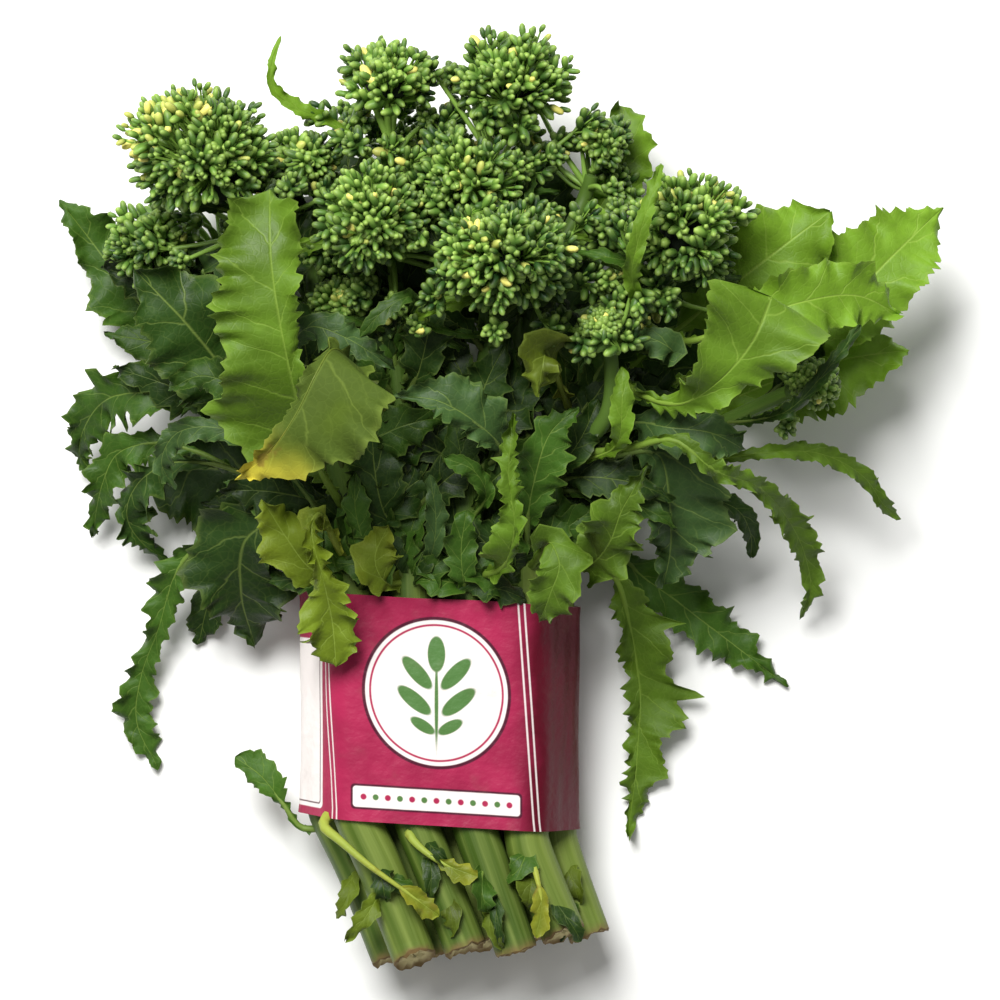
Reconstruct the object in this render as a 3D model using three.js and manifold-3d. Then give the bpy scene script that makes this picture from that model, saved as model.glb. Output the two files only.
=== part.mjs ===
// A bunch of broccoli raab lying on a surface: thirteen flowering stalks with their leaves and flower
// heads, held together by a paper band. Millimetres. +Z is up from the surface, and +Y runs from the
// cut ends of the stalks to the flower heads.
import * as THREE from "three";
import { mergeVertices } from "three/addons/utils/BufferGeometryUtils.js";
import Module from "manifold-3d";

const wasm = await Module();
wasm.setup();

// Driving dimensions
const STALK_RADIUS = 8.1; // at the cut end
const STALK_PITCH = 21; // between stalks side by side in the band
const ROW_RISE = 16.5; // between the three rows of stalks in the band
const BUNDLE_X = -22; // middle of the bundle, in the drawing's own axes
const BAND_TOP = -36;
const BAND_BOTTOM = -118;
const BAND_WALL = 0.8;
const BAND_SLACK = 0.8; // between the band and the stalks
const LOWEST_ROW = STALK_RADIUS + BAND_SLACK + BAND_WALL; // height of the lowest row's middle
const BAND_SLANT = 0.06; // the band's edges run down to the right by this much
const LAP = [8, 34]; // the band's two ends are glued one over the other between these heights
const CUT_Y = -166;
const CUT_SHIFT = 19.5; // the feet of the stalks lean this far to the right
const CUT_PINCH = 3; // and come this much closer to each other
const GAP = 0.35; // clearance between solids that touch
const LEAF_WALL = 0.9;
const TOOTH_PITCH = 11; // between a leaf's stations, which its teeth and waves follow

// Colours
const STALK_GREEN = 0x7f9a4c;
const HEAD_GREEN = 0x4c7436;
const BAND_PINK = 0xb02a5a;
const LEAF_GREENS = { dark: 0x33571f, mid: 0x47712a, blue: 0x41614a, bright: 0x7ea432, yellow: 0x98a03a };

const up = new THREE.Vector3(0, 0, 1);
const vec = (p) => new THREE.Vector3(...p);

// Flower heads: middle of the head, its radius, the way it faces, and how many buds cover it.
const HEADS = {
  front: { at: [3, 84, 107], radius: 27, faces: [0.05, 0.15, 1], buds: 36 },
  centre: { at: [-10, 113, 78], radius: 22, faces: [-0.05, 0.6, 0.8], buds: 24 },
  left: { at: [-45, 98, 92], radius: 24, faces: [-0.2, 0.35, 0.92], buds: 26 },
  top_left: { at: [-40, 146, 60], radius: 24, faces: [0, 1, 0.3], buds: 26 },
  top_right: { at: [5, 147, 58], radius: 27, faces: [0.1, 1, 0.35], buds: 28 },
  upper_left: { at: [-104, 122, 78], radius: 30, faces: [-0.4, 0.7, 0.6], buds: 36 },
  far_left: { at: [-126, 93, 40], radius: 21, faces: [-0.9, 0.1, 0.4], buds: 20 },
  left_back: { at: [-72, 122, 46], radius: 17, faces: [-0.1, 0.8, 0.5], buds: 16 },
  right: { at: [66, 95, 84], radius: 27, faces: [0.3, 0.5, 0.8], buds: 30 },
  right_back: { at: [50, 90, 38], radius: 16, faces: [0.3, 0.8, 0.5], buds: 13 },
  right_top: { at: [37, 129, 46], radius: 14, faces: [0.3, 0.9, 0.3], buds: 12 },
  right_front: { at: [36, 61, 93], radius: 9, faces: [-0.2, 0.5, 0.8], buds: 10 },
  far_right: { at: [112, 42, 60], radius: 12, faces: [0.7, 0.3, 0.6], buds: 12 },
  lower_left: { at: [-57, 70, 64], radius: 14, faces: [-0.3, 0.1, 0.95], buds: 12 },
  under_left: { at: [-80, 92, 20], radius: 15, faces: [-0.5, 0.85, 0.1], buds: 10 },
  under_centre: { at: [-20, 124, 23], radius: 17, faces: [0, 1, 0.1], buds: 12 },
  under_right: { at: [64, 104, 15], radius: 13, faces: [0.5, 0.85, 0.1], buds: 10 },
};

// Stalks: the column and row that each has in the band, the points that it passes above the band, the
// head that it carries and the radius of its top. A side branch leaves the stalk at the height "from".
const STALKS = [
  { name: "a1", column: -1.5, row: 2, via: [[-56, 0, 47], [-74, 55, 56]], head: "upper_left", top: 4.2,
    side: { from: 20, via: [[-68, 70, 48]], head: "left_back", top: 2.6 } },
  { name: "a2", column: -0.5, row: 2, via: [[-34, 5, 46], [-38, 55, 52]], head: "left", top: 4,
    side: { from: 10, via: [[-48, 45, 50]], head: "lower_left", top: 2.6 } },
  { name: "a3", column: 0.5, row: 2, via: [[-12, 5, 47], [-4, 50, 56]], head: "front", top: 4.4 },
  { name: "a4", column: 1.5, row: 2, via: [[12, 0, 48], [38, 50, 56]], head: "right", top: 4,
    side: { from: 10, via: [[38, 30, 70]], head: "right_front", top: 2.6 } },
  { name: "b1", column: -2, row: 1, via: [[-68, -5, 28], [-92, 40, 32]], head: "far_left", top: 3.4 },
  { name: "b2", column: -1, row: 1, via: [[-42, 5, 31], [-42, 65, 42]], head: "top_left", top: 4 },
  { name: "b3", column: 0, row: 1, via: [[-22, 5, 31], [-16, 60, 42]], head: "centre", top: 3.8 },
  { name: "b4", column: 1, row: 1, via: [[-2, 5, 31], [4, 65, 44]], head: "top_right", top: 4.2,
    side: { from: 45, via: [[20, 88, 44]], head: "right_top", top: 2.6 } },
  { name: "b5", column: 2, row: 1, via: [[20, -5, 30], [34, 40, 36]], head: "right_back", top: 3 },
  { name: "c1", column: -1.5, row: 0, via: [[-54, 0, 12], [-62, 45, 15]], head: "under_left", top: 3 },
  { name: "c2", column: -0.5, row: 0, via: [[-33, 5, 13], [-26, 60, 18]], head: "under_centre", top: 3.4 },
  { name: "c3", column: 0.5, row: 0, via: [[-10, 5, 13], [10, 50, 17]], head: "under_right", top: 3.2 },
  { name: "c4", column: 1.5, row: 0, via: [[12, -12, 13], [50, 12, 18]], head: "far_right", top: 2.8 },
];

// Heads that are too small for a node of their own are part of their stalk's node.
const SMALL_HEADS = ["left_back", "lower_left", "right_top", "right_front", "far_right"];

// Leaves: the stalk that carries each, the height along +Y where it leaves the stalk, the points that
// its midrib passes, its half widths left and right of the midrib from the blade's foot to its tip, the
// share of its length that is bare leaf stem, and its tint. Its upper face looks up, or the ways that
// "looks" lists from its foot to its tip.
const LEAVES = [
  // middle left
  { name: "tall", stalk: "a1", from: -6, tint: "bright", stem: 0.22,
    via: [[-66, 16, 82], [-74, 50, 108], [-79, 82, 115], [-80, 108, 108]],
    left: [3, 20, 28, 17, 20, 15, 15, 9], right: [3, 5, 5, 6, 8, 10, 13, 8] },
  { name: "folded", stalk: "a2", from: 24, tint: "yellow", stem: 0.3,
    looks: [[0, -0.8, 0.6], [0, -1, 0.1], [0, -0.5, -0.8], [0.2, 0, -1], [0.2, 0, -1]],
    via: [[-50, 44, 88], [-58, 52, 112], [-63, 44, 121], [-70, 30, 120], [-80, 16, 115], [-92, 7, 106]],
    left: [3, 3, 4, 6, 6, 5, 2], right: [3, 10, 24, 31, 22, 11, 2] },
  { name: "rolled", stalk: "a1", from: 10, tint: "mid", stem: 0.3,
    via: [[-74, 28, 71], [-88, 38, 79], [-106, 44, 81], [-118, 39, 77]],
    left: [3, 7, 9, 7, 5, 2], right: [3, 7, 9, 9, 7, 3] },
  { name: "crossing", stalk: "a1", from: 32, tint: "blue", stem: 0.4,
    via: [[-76, 50, 76], [-67, 61, 89], [-54, 57, 92], [-37, 46, 88]],
    left: [3, 5, 7, 6, 4, 2], right: [3, 6, 8, 7, 4, 2] },
  // left side
  { name: "left_high", stalk: "b1", from: 8, tint: "dark", stem: 0.3,
    via: [[-84, 24, 52], [-98, 45, 60], [-112, 63, 72], [-130, 82, 78]],
    left: [3, 16, 22, 20, 14, 3], right: [3, 14, 20, 20, 17, 4] },
  { name: "far_left", stalk: "b1", from: 24, tint: "mid", stem: 0.3,
    via: [[-110, 50, 20], [-135, 74, 18], [-150, 94, 20], [-163, 111, 22]],
    left: [3, 15, 18, 14, 10, 3], right: [3, 14, 18, 18, 14, 4] },
  { name: "left_arc", stalk: "a1", from: -22, tint: "blue", stem: 0.35,
    via: [[-84, 18, 64], [-102, 26, 68], [-116, 24, 64], [-122, 14, 58], [-118, 4, 50]],
    left: [2, 4, 6, 6, 5, 2], right: [2, 3, 4, 5, 4, 2] },
  { name: "left_big", stalk: "b1", from: -26, tint: "dark", stem: 0.28,
    via: [[-80, -8, 50], [-92, -14, 48], [-95, -34, 34], [-91, -54, 16]],
    left: [3, 18, 24, 22, 18, 14, 4], right: [3, 16, 22, 20, 13, 8, 3] },
  { name: "droop_high", stalk: "b1", from: 12, tint: "mid", stem: 0.25, node: "stalk",
    via: [[-94, 26, 42], [-112, 36, 45], [-128, 39, 42], [-144, 37, 34], [-154, 26, 22],
      [-156, 16, 12], [-150, 8, 6]],
    left: [3, 8, 11, 12, 10, 6, 2], right: [3, 7, 11, 12, 9, 5, 2] },
  { name: "droop_low", stalk: "b1", from: -4, tint: "mid", stem: 0.45,
    via: [[-92, 8, 34], [-112, 18, 33], [-128, 21, 30], [-141, 17, 27], [-147, 6, 22], [-150, -4, 15],
      [-152, -14, 7]],
    left: [2, 7, 9, 9, 7, 2], right: [2, 7, 8, 8, 6, 2] },
  { name: "droop_near", stalk: "b1", from: -14, tint: "dark", stem: 0.4,
    via: [[-84, 4, 42], [-104, 13, 44], [-122, 13, 38], [-134, 5, 30], [-138, -6, 22],
      [-133, -16, 14], [-123, -23, 8]],
    left: [2, 9, 13, 11, 10, 3], right: [2, 6, 6, 6, 6, 3] },
  { name: "hanging", stalk: "b1", from: -20, tint: "mid", stem: 0.3,
    via: [[-84, -14, 31], [-102, -12, 31], [-118, -24, 24], [-127, -48, 15], [-134, -66, 8],
      [-136, -83, 4], [-128, -101, 2]],
    left: [2, 8, 9, 6, 7, 10, 9, 3], right: [2, 9, 10, 6, 7, 10, 9, 3] },
  { name: "left_low", stalk: "c1", from: -22, tint: "dark", stem: 0.3, node: "stalk",
    via: [[-78, -20, 12], [-97, -24, 12], [-108, -37, 8], [-113, -54, 2]],
    left: [2, 9, 11, 9, 3], right: [2, 8, 10, 9, 3] },
  { name: "left_fill", stalk: "c1", from: -6, tint: "dark", stem: 0.2, node: "stalk",
    via: [[-72, 4, 12], [-94, 10, 12], [-114, 12, 9], [-134, 9, 4]],
    left: [3, 16, 24, 25, 20, 5], right: [3, 16, 22, 20, 14, 4] },
  { name: "stub", stalk: "b1", from: -128, tint: "mid", stem: 0.4, node: "stalk",
    via: [[-73, -129, 27], [-83, -115, 28], [-90, -103, 26], [-99, -94, 22]],
    left: [2, 4, 5, 2], right: [2, 6, 8, 2] },
  // above the band, left
  { name: "pale", stalk: "a1", from: -30, tint: "yellow", stem: 0.2,
    via: [[-68, -25, 57], [-77, -13, 63], [-85, 0, 69]],
    left: [3, 11, 15, 12, 3], right: [3, 9, 10, 9, 3] },
  { name: "over_band", stalk: "a1", from: -27, tint: "bright", stem: 0.3,
    looks: [[-0.5, -1, 0], [-0.3, -1, 0], [0, 0, 1], [0, 0, 1], [0, 0, 1]],
    via: [[-60, -14, 60], [-64, -5, 73], [-67, -10, 80], [-63, -28, 75], [-60, -45, 65], [-59, -60, 60]],
    left: [3, 5, 5, 6, 12, 13, 8], right: [3, 5, 5, 6, 13, 14, 8] },
  { name: "olive", stalk: "a2", from: -30, tint: "yellow", stem: 0.2,
    via: [[-42, -29, 57], [-45, -21, 62], [-40, -9, 66]],
    left: [3, 8, 9, 8, 3], right: [3, 9, 11, 8, 3] },
  { name: "narrow", stalk: "a2", from: -22, tint: "mid", stem: 0.2, node: "stalk",
    via: [[-48, -16, 57], [-52, -4, 59], [-52, 10, 62]], left: [2, 4, 5, 2], right: [2, 5, 6, 2] },
  { name: "dark_upright", stalk: "a2", from: -20, tint: "dark", stem: 0.15, node: "stalk",
    via: [[-42, -4, 56], [-45, 10, 60], [-46, 25, 63]],
    left: [3, 11, 14, 11, 3], right: [3, 11, 13, 11, 3] },
  { name: "wavy", stalk: "a2", from: -30, tint: "blue", stem: 0.2, node: "stalk",
    via: [[-25, -20, 56], [-23, -8, 64], [-25, 9, 68]], left: [2, 4, 4, 2], right: [2, 4, 5, 2] },
  { name: "upright", stalk: "a3", from: -32, tint: "mid", stem: 0.2, node: "stalk",
    via: [[-13, -30, 56], [-14, -18, 62], [-12, -4, 66]], left: [2, 6, 7, 3], right: [2, 6, 7, 3] },
  // middle
  { name: "veined", stalk: "a3", from: 8, tint: "blue", stem: 0.3,
    via: [[0, 18, 70], [-8, 27, 82], [-22, 35, 86], [-38, 37, 84]],
    left: [3, 7, 8, 8, 5, 2], right: [3, 10, 14, 16, 9, 2] },
  { name: "curl", stalk: "a3", from: -10, tint: "mid", stem: 0.3, node: "stalk",
    via: [[-5, 2, 62], [-10, 11, 70], [-20, 15, 72]], left: [2, 4, 5, 3], right: [2, 4, 4, 3] },
  { name: "fill_left", stalk: "a2", from: 34, tint: "dark", stem: 0.2, node: "stalk",
    via: [[-30, 44, 64], [-26, 58, 74], [-24, 74, 80]], left: [3, 9, 10, 3], right: [3, 9, 9, 3] },
  { name: "fill_right", stalk: "a3", from: 12, tint: "dark", stem: 0.2, node: "stalk",
    via: [[-9, 28, 60], [-5, 42, 65], [2, 56, 67]], left: [3, 8, 9, 3], right: [3, 8, 9, 3] },
  { name: "spotted", stalk: "a4", from: 30, tint: "yellow", stem: 0.5, looks: [[0, -1, 0.3], [0.1, -0.3, 1]],
    via: [[21, 42, 74], [16, 53, 91], [15, 48, 100], [13, 36, 100]],
    left: [4, 12, 10, 7, 2], right: [4, 13, 17, 9, 2] },
  { name: "strip_left", stalk: "a2", from: 58, tint: "bright", stem: 0.6, node: "stalk",
    via: [[-30, 70, 90], [-33, 71, 99], [-42, 65, 101], [-49, 57, 98]],
    left: [2, 3, 4, 2], right: [2, 3, 4, 2] },
  { name: "centre_strip", stalk: "a3", from: -28, tint: "bright", stem: 0.2,
    via: [[1, -24, 68], [5, -9, 82], [3, 9, 88], [4, 22, 90], [5, 31, 87]],
    left: [3, 12, 11, 5, 5, 5, 2], right: [3, 4, 4, 5, 5, 4, 2] },
  { name: "centre_low", stalk: "a4", from: -26, tint: "bright", stem: 0.3,
    looks: [[0, -1, 0.3], [0, -0.3, 1], [0, 0, 1], [0, 0, 1]],
    via: [[15, -19, 64], [18, -15, 76], [21, -23, 80], [18, -33, 76], [14, -44, 65]],
    left: [3, 9, 12, 10, 3], right: [3, 7, 10, 10, 3] },
  { name: "centre_right", stalk: "b5", from: -20, tint: "bright", stem: 0.3,
    via: [[31, -24, 56], [39, -15, 76], [43, -4, 82], [48, 5, 85], [52, 12, 86]],
    left: [3, 12, 14, 8, 2], right: [3, 12, 12, 7, 2] },
  { name: "behind", stalk: "a4", from: -24, tint: "mid", stem: 0.25,
    via: [[10, -8, 60], [12, 6, 70], [18, 24, 79], [28, 33, 80]],
    left: [3, 7, 9, 9, 7, 2], right: [3, 8, 11, 12, 8, 2] },
  { name: "inner", stalk: "a4", from: 4, tint: "dark", stem: 0.25, node: "stalk",
    via: [[22, 12, 62], [30, 24, 67], [35, 36, 68]], left: [2, 7, 7, 2], right: [2, 7, 7, 2] },
  { name: "thin_upright", stalk: "a4", from: 14, tint: "bright", stem: 0.4, node: "stalk",
    via: [[36, 16, 66], [42, 21, 80], [43, 34, 88], [43, 47, 88]],
    left: [2, 4, 5, 2], right: [2, 4, 5, 2] },
  // right side
  { name: "right_curve", stalk: "a4", from: 28, tint: "mid", stem: 0.3, node: "stalk",
    via: [[37, 35, 60], [44, 39, 60], [50, 38, 60], [54, 34, 59]],
    left: [2, 4, 5, 2], right: [2, 4, 5, 2] },
  { name: "right_dark", stalk: "a4", from: 56, tint: "blue", stem: 0.35, node: "stalk",
    via: [[57, 52, 74], [61, 53, 82], [54, 57, 85], [46, 57, 80]],
    left: [2, 6, 6, 2], right: [2, 6, 6, 2] },
  { name: "leaflet", stalk: "a4", from: 58, tint: "bright", stem: 0.3, node: "stalk",
    via: [[48, 68, 86], [46, 80, 104], [49, 94, 112], [53, 107, 113], [56, 117, 108]],
    left: [2, 3, 4, 3, 2], right: [2, 3, 4, 3, 2] },
  { name: "blue_low", stalk: "b5", from: 10, tint: "blue", stem: 0.3,
    via: [[42, 16, 46], [57, 16, 60], [61, 0, 55], [62, -18, 43], [60, -31, 34]],
    left: [3, 17, 26, 23, 13, 3], right: [3, 8, 10, 10, 8, 3] },
  { name: "blue_high", stalk: "b5", from: 20, tint: "blue", stem: 0.35,
    via: [[46, 28, 56], [60, 26, 72], [75, 24, 74], [88, 18, 66]],
    left: [3, 7, 9, 8, 3], right: [3, 9, 13, 11, 3] },
  { name: "right_long", stalk: "a4", from: 16, tint: "mid", stem: 0.25, node: "stalk",
    via: [[44, 18, 72], [62, 21, 85], [75, 11, 84], [92, 5, 66], [104, -6, 46], [112, -20, 30],
      [115, -34, 20], [112, -44, 12]],
    left: [2, 5, 5, 4, 7, 8, 5, 2], right: [2, 4, 4, 4, 6, 5, 4, 2] },
  { name: "right_thin", stalk: "c4", from: 8, tint: "mid", stem: 0.35, node: "stalk",
    via: [[72, 13, 44], [94, 17, 56], [115, 17, 52], [132, 9, 42], [142, -3, 30], [148, -7, 24]],
    left: [2, 3, 4, 4, 4, 2], right: [2, 3, 4, 4, 3, 2] },
  { name: "spur", stalk: "b5", from: 8, tint: "dark", stem: 0.4, node: "stalk",
    via: [[42, 4, 38], [68, 2, 42], [86, -3, 38], [92, -12, 30], [93, -21, 22]],
    left: [2, 5, 5, 2], right: [2, 5, 4, 2] },
  { name: "big_right", stalk: "a4", from: 50, tint: "bright", stem: 0.35, looks: [[0.1, -0.3, 0.9]],
    via: [[50, 38, 72], [64, 34, 86], [77, 42, 97], [88, 55, 102], [95, 71, 101]],
    left: [4, 10, 15, 22, 28], right: [4, 7, 11, 19, 27] },
  { name: "right_high", stalk: "b5", from: 38, tint: "bright", stem: 0.35,
    via: [[62, 60, 44], [86, 79, 54], [104, 93, 59], [119, 104, 58]],
    left: [3, 12, 18, 18, 10, 3], right: [3, 10, 15, 17, 14, 4] },
  { name: "right_mid", stalk: "a4", from: 66, tint: "mid", stem: 0.3,
    via: [[66, 57, 66], [84, 62, 76], [106, 70, 78], [127, 73, 71], [143, 67, 62]],
    left: [3, 8, 12, 12, 9, 3], right: [3, 9, 12, 11, 8, 3] },
  { name: "far_right", stalk: "b5", from: 26, tint: "bright", stem: 0.45,
    via: [[60, 42, 40], [98, 52, 49], [122, 68, 50], [142, 88, 46], [162, 107, 38]],
    left: [3, 14, 19, 18, 13, 3], right: [3, 11, 16, 17, 13, 3] },
  { name: "right_low", stalk: "c4", from: 8, tint: "bright", stem: 0.35,
    via: [[64, 26, 18], [92, 40, 26], [115, 49, 35], [135, 53, 38], [150, 55, 34]],
    left: [3, 10, 14, 15, 12, 4], right: [3, 13, 21, 22, 13, 3] },
  { name: "right_strip", stalk: "c4", from: 28, tint: "dark", stem: 0.3, node: "stalk",
    via: [[93, 29, 60], [104, 33, 77], [118, 49, 84], [128, 62, 80]],
    left: [2, 3, 3, 2], right: [2, 3, 3, 2] },
  { name: "long_lobed", stalk: "b5", from: -30, tint: "mid", stem: 0.2,
    via: [[30, -22, 28], [42, -28, 25], [48, -46, 18], [52, -70, 10], [51, -98, 6], [48, -126, 2]],
    left: [3, 12, 24, 12, 28, 12, 15, 8, 3], right: [3, 7, 9, 7, 9, 7, 6, 5, 2] },
  { name: "low_right", stalk: "c4", from: -22, tint: "mid", stem: 0.25,
    via: [[34, -16, 9], [58, -32, 7], [82, -50, 6], [108, -70, 2]],
    left: [3, 10, 14, 12, 8, 2], right: [3, 11, 14, 13, 8, 2] },
  // among the heads
  { name: "top_right", stalk: "b4", from: 78, tint: "mid", stem: 0.25, node: "stalk",
    via: [[26, 94, 35], [40, 113, 33], [47, 130, 33], [44, 145, 30]],
    left: [2, 7, 8, 3], right: [2, 8, 8, 3] },
  { name: "top_curl", stalk: "b2", from: 104, tint: "mid", stem: 0.3, node: "stalk",
    via: [[-56, 133, 48], [-74, 142, 54], [-82, 149, 58], [-82, 158, 60], [-79, 167, 60]],
    left: [2, 3, 4, 3, 2], right: [2, 3, 4, 3, 2] },
  // lying under the bunch
  { name: "under_left", stalk: "c1", from: -4, tint: "dark", stem: 0.2, cup: 0.03, wave: 0.02,
    via: [[-70, 12, 3], [-88, 36, 1], [-102, 62, 1], [-112, 96, 1]],
    left: [3, 17, 24, 24, 20, 3], right: [3, 17, 24, 24, 20, 3] },
  { name: "under_inner_left", stalk: "c2", from: 0, tint: "dark", stem: 0.2, cup: 0.03, wave: 0.02,
    via: [[-40, 30, 2], [-46, 60, 1], [-52, 95, 1], [-58, 132, 1]],
    left: [3, 17, 25, 25, 20, 3], right: [3, 17, 25, 25, 20, 3] },
  { name: "under_inner_right", stalk: "c3", from: 5, tint: "dark", stem: 0.2, cup: 0.03, wave: 0.02,
    via: [[6, 34, 2], [12, 66, 1], [12, 100, 1], [8, 136, 1]],
    left: [3, 17, 25, 25, 20, 3], right: [3, 17, 25, 25, 20, 3] },
  { name: "under_right", stalk: "c4", from: -8, tint: "dark", stem: 0.2, cup: 0.03, wave: 0.02,
    via: [[34, 16, 3], [58, 40, 1], [74, 68, 1], [84, 98, 1]],
    left: [3, 17, 24, 24, 20, 3], right: [3, 17, 24, 24, 20, 3] },
  // cut leaf stems below the band
  { name: "cut_left", stalk: "a1", from: -123, tint: "yellow", stem: 0.75, node: "stalk",
    via: [[-62, -122, 49], [-57, -128, 55], [-46, -136, 57], [-33, -144, 57], [-22, -150, 56]],
    left: [2, 5, 4, 2], right: [2, 3, 6, 2] },
  { name: "cut_middle", stalk: "a2", from: -123, tint: "yellow", stem: 0.6, node: "stalk",
    via: [[-31, -125, 53], [-23, -131, 56], [-8, -136, 57]], left: [2, 3, 4, 2], right: [2, 4, 6, 2] },
  { name: "cut_right", stalk: "a4", from: -127, tint: "yellow", stem: 0.5, node: "stalk",
    via: [[13, -135, 54], [15, -146, 56], [13, -158, 55]], left: [2, 3, 5, 2], right: [2, 4, 3, 2] },
];

// A closed solid from rings of points, each ring running clockwise as seen along the way the rings go.
// turned(k) says which way the square from ring point k to k + 1 is split.
function loft(rings, turned = () => false) {
  const sides = rings[0].length;
  const index = [];
  const at = (ring, k) => ring * sides + (k % sides);
  for (let i = 0; i + 1 < rings.length; i++)
    for (let k = 0; k < sides; k++) {
      const [a, b, c, d] = [at(i, k), at(i, k + 1), at(i + 1, k), at(i + 1, k + 1)];
      if (turned(k)) index.push(a, b, d, a, d, c);
      else index.push(a, b, c, b, d, c);
    }
  const last = rings.length - 1;
  for (let k = 1; k + 1 < sides; k++) {
    index.push(at(0, 0), at(0, k + 1), at(0, k));
    index.push(at(last, 0), at(last, k), at(last, k + 1));
  }
  const points = rings.flat().flatMap((p) => [p.x, p.y, p.z]);
  return solid(new Float32Array(points), new Uint32Array(index));
}

function solid(positions, index) {
  return new wasm.Manifold(new wasm.Mesh({ numProp: 3, vertProperties: positions, triVerts: index }));
}

// A three.js geometry as a solid, with its shared vertices merged.
function solidOf(geometry) {
  const bare = new THREE.BufferGeometry();
  bare.setAttribute("position", geometry.getAttribute("position"));
  if (geometry.index) bare.setIndex(geometry.index);
  const merged = mergeVertices(bare, 1e-4);
  return solid(merged.getAttribute("position").array, new Uint32Array(merged.index.array));
}

function mesh(name, shape, colour) {
  const made = shape.getMesh();
  const geometry = new THREE.BufferGeometry();
  geometry.setAttribute("position", new THREE.BufferAttribute(new Float32Array(made.vertProperties), 3));
  geometry.setIndex(new THREE.BufferAttribute(new Uint32Array(made.triVerts), 1));
  geometry.computeVertexNormals();
  const material = new THREE.MeshStandardMaterial({ color: colour, roughness: 0.6, metalness: 0 });
  const part = new THREE.Mesh(geometry, material);
  part.name = name;
  return part;
}

const largest = (shape) => shape.decompose().sort((a, b) => b.volume() - a.volume())[0];

// Round tube along a curve, with evenly spaced radii from one end to the other.
function tube(curve, radii, sides, shares, margin = 0) {
  const rings = [];
  let side = new THREE.Vector3(1, 0.13, 0.07);
  for (const share of shares) {
    const tangent = curve.getTangentAt(share);
    side = side.clone().addScaledVector(tangent, -side.dot(tangent)).normalize();
    const other = tangent.clone().cross(side);
    const radius = between(radii, share) + margin;
    const middle = curve.getPointAt(share);
    rings.push(
      Array.from({ length: sides }, (_, k) => {
        const angle = (2 * Math.PI * k) / sides;
        return middle.clone()
          .addScaledVector(side, radius * Math.cos(angle))
          .addScaledVector(other, radius * Math.sin(angle));
      }),
    );
  }
  return loft(rings);
}

// Evenly spread shares of a length, from the first to its end.
function spread(steps, first = 0) {
  return Array.from({ length: steps + 1 }, (_, i) => first + ((1 - first) * i) / steps);
}

// A value between evenly spaced ones, at a share s of the way from the first to the last.
function between(values, s) {
  const place = THREE.MathUtils.clamp(s, 0, 1) * (values.length - 1);
  const i = Math.min(Math.floor(place), values.length - 2);
  return THREE.MathUtils.lerp(values[i], values[i + 1], place - i);
}

// Where a head's neck ends, and the point below it that makes the stalk arrive along the neck.
function footOf(head) {
  const faces = vec(head.faces).normalize();
  const foot = vec(head.at).addScaledVector(faces, -0.85 * head.radius);
  const approach = foot.clone().addScaledVector(faces, -0.7 * head.radius);
  return { faces, foot, approach };
}

function stalkCurve(stalk) {
  const x = BUNDLE_X + stalk.column * STALK_PITCH;
  const z = LOWEST_ROW + stalk.row * ROW_RISE;
  const { faces, foot, approach } = footOf(HEADS[stalk.head]);
  const shift = CUT_SHIFT - CUT_PINCH * stalk.column;
  const cut = CUT_Y + 2.5 * stalk.column - 4 * Math.sin(3.1 * stalk.column + 2 * stalk.row + 1);
  return new THREE.CatmullRomCurve3([
    new THREE.Vector3(x + shift, cut, z),
    new THREE.Vector3(x + shift * 0.25, BAND_BOTTOM - 18, z),
    new THREE.Vector3(x, BAND_BOTTOM - 8.5, z),
    new THREE.Vector3(x, BAND_BOTTOM - 5, z),
    new THREE.Vector3(x, BAND_BOTTOM + 8, z),
    new THREE.Vector3(x, BAND_TOP - 4, z),
    ...stalk.via.map(vec),
    approach,
    foot.addScaledVector(faces, -GAP),
  ]);
}

// The share of a stalk's length at a height along +Y, searched from its cut end upwards.
function shareAtY(curve, y) {
  for (let t = 0; t < 1; t += 0.002) {
    if (curve.getPointAt(t).y >= y) return t;
  }
  return 1;
}

function pointAtY(curve, y) {
  return curve.getPointAt(shareAtY(curve, y));
}

const stalkCurves = Object.fromEntries(STALKS.map((s) => [s.name, stalkCurve(s)]));

function sideCurve(stalk) {
  const { faces, foot, approach } = footOf(HEADS[stalk.side.head]);
  return new THREE.CatmullRomCurve3([
    pointAtY(stalkCurves[stalk.name], stalk.side.from),
    ...stalk.side.via.map(vec),
    approach,
    foot.addScaledVector(faces, -GAP),
  ]);
}

// A stalk, grown by some margin when it is used to cut what meets it.
function stalkSolid(stalk, margin = 0) {
  const wide = STALK_RADIUS;
  const radii = [wide - 0.9, wide, wide, wide - 0.3, wide - 1.4, 0.6 * wide, stalk.top, stalk.top];
  const curve = stalkCurves[stalk.name];
  const bend = shareAtY(curve, BAND_BOTTOM - 5);
  const main = tube(curve, radii, 6, [0, 0.7 * bend, ...spread(8, bend)], margin);
  if (!stalk.side) return main;
  return main.add(tube(sideCurve(stalk), [stalk.side.top * 1.3, stalk.side.top], 5, spread(4), margin));
}

// One bud: a spindle with four sides, from its foot in the core to its tip.
function bud(foot, direction, length, radius, turn) {
  const seed = Math.abs(direction.z) > 0.9 ? new THREE.Vector3(1, 0, 0) : up;
  const side = seed.clone().cross(direction).normalize();
  const other = direction.clone().cross(side);
  const belly = [0, 1, 2, 3].map((k) => {
    const angle = turn + (Math.PI / 2) * k;
    return foot.clone()
      .addScaledVector(direction, length * 0.66)
      .addScaledVector(side, radius * Math.cos(angle))
      .addScaledVector(other, radius * Math.sin(angle));
  });
  const tip = foot.clone().addScaledVector(direction, length);
  const points = [foot, tip, ...belly].flatMap((p) => p.toArray());
  const faces = [0, 1, 2, 3].flatMap((k) => {
    const [a, b] = [2 + k, 2 + ((k + 1) % 4)];
    return [0, b, a, 1, a, b];
  });
  return solid(new Float32Array(points), new Uint32Array(faces));
}

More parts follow.
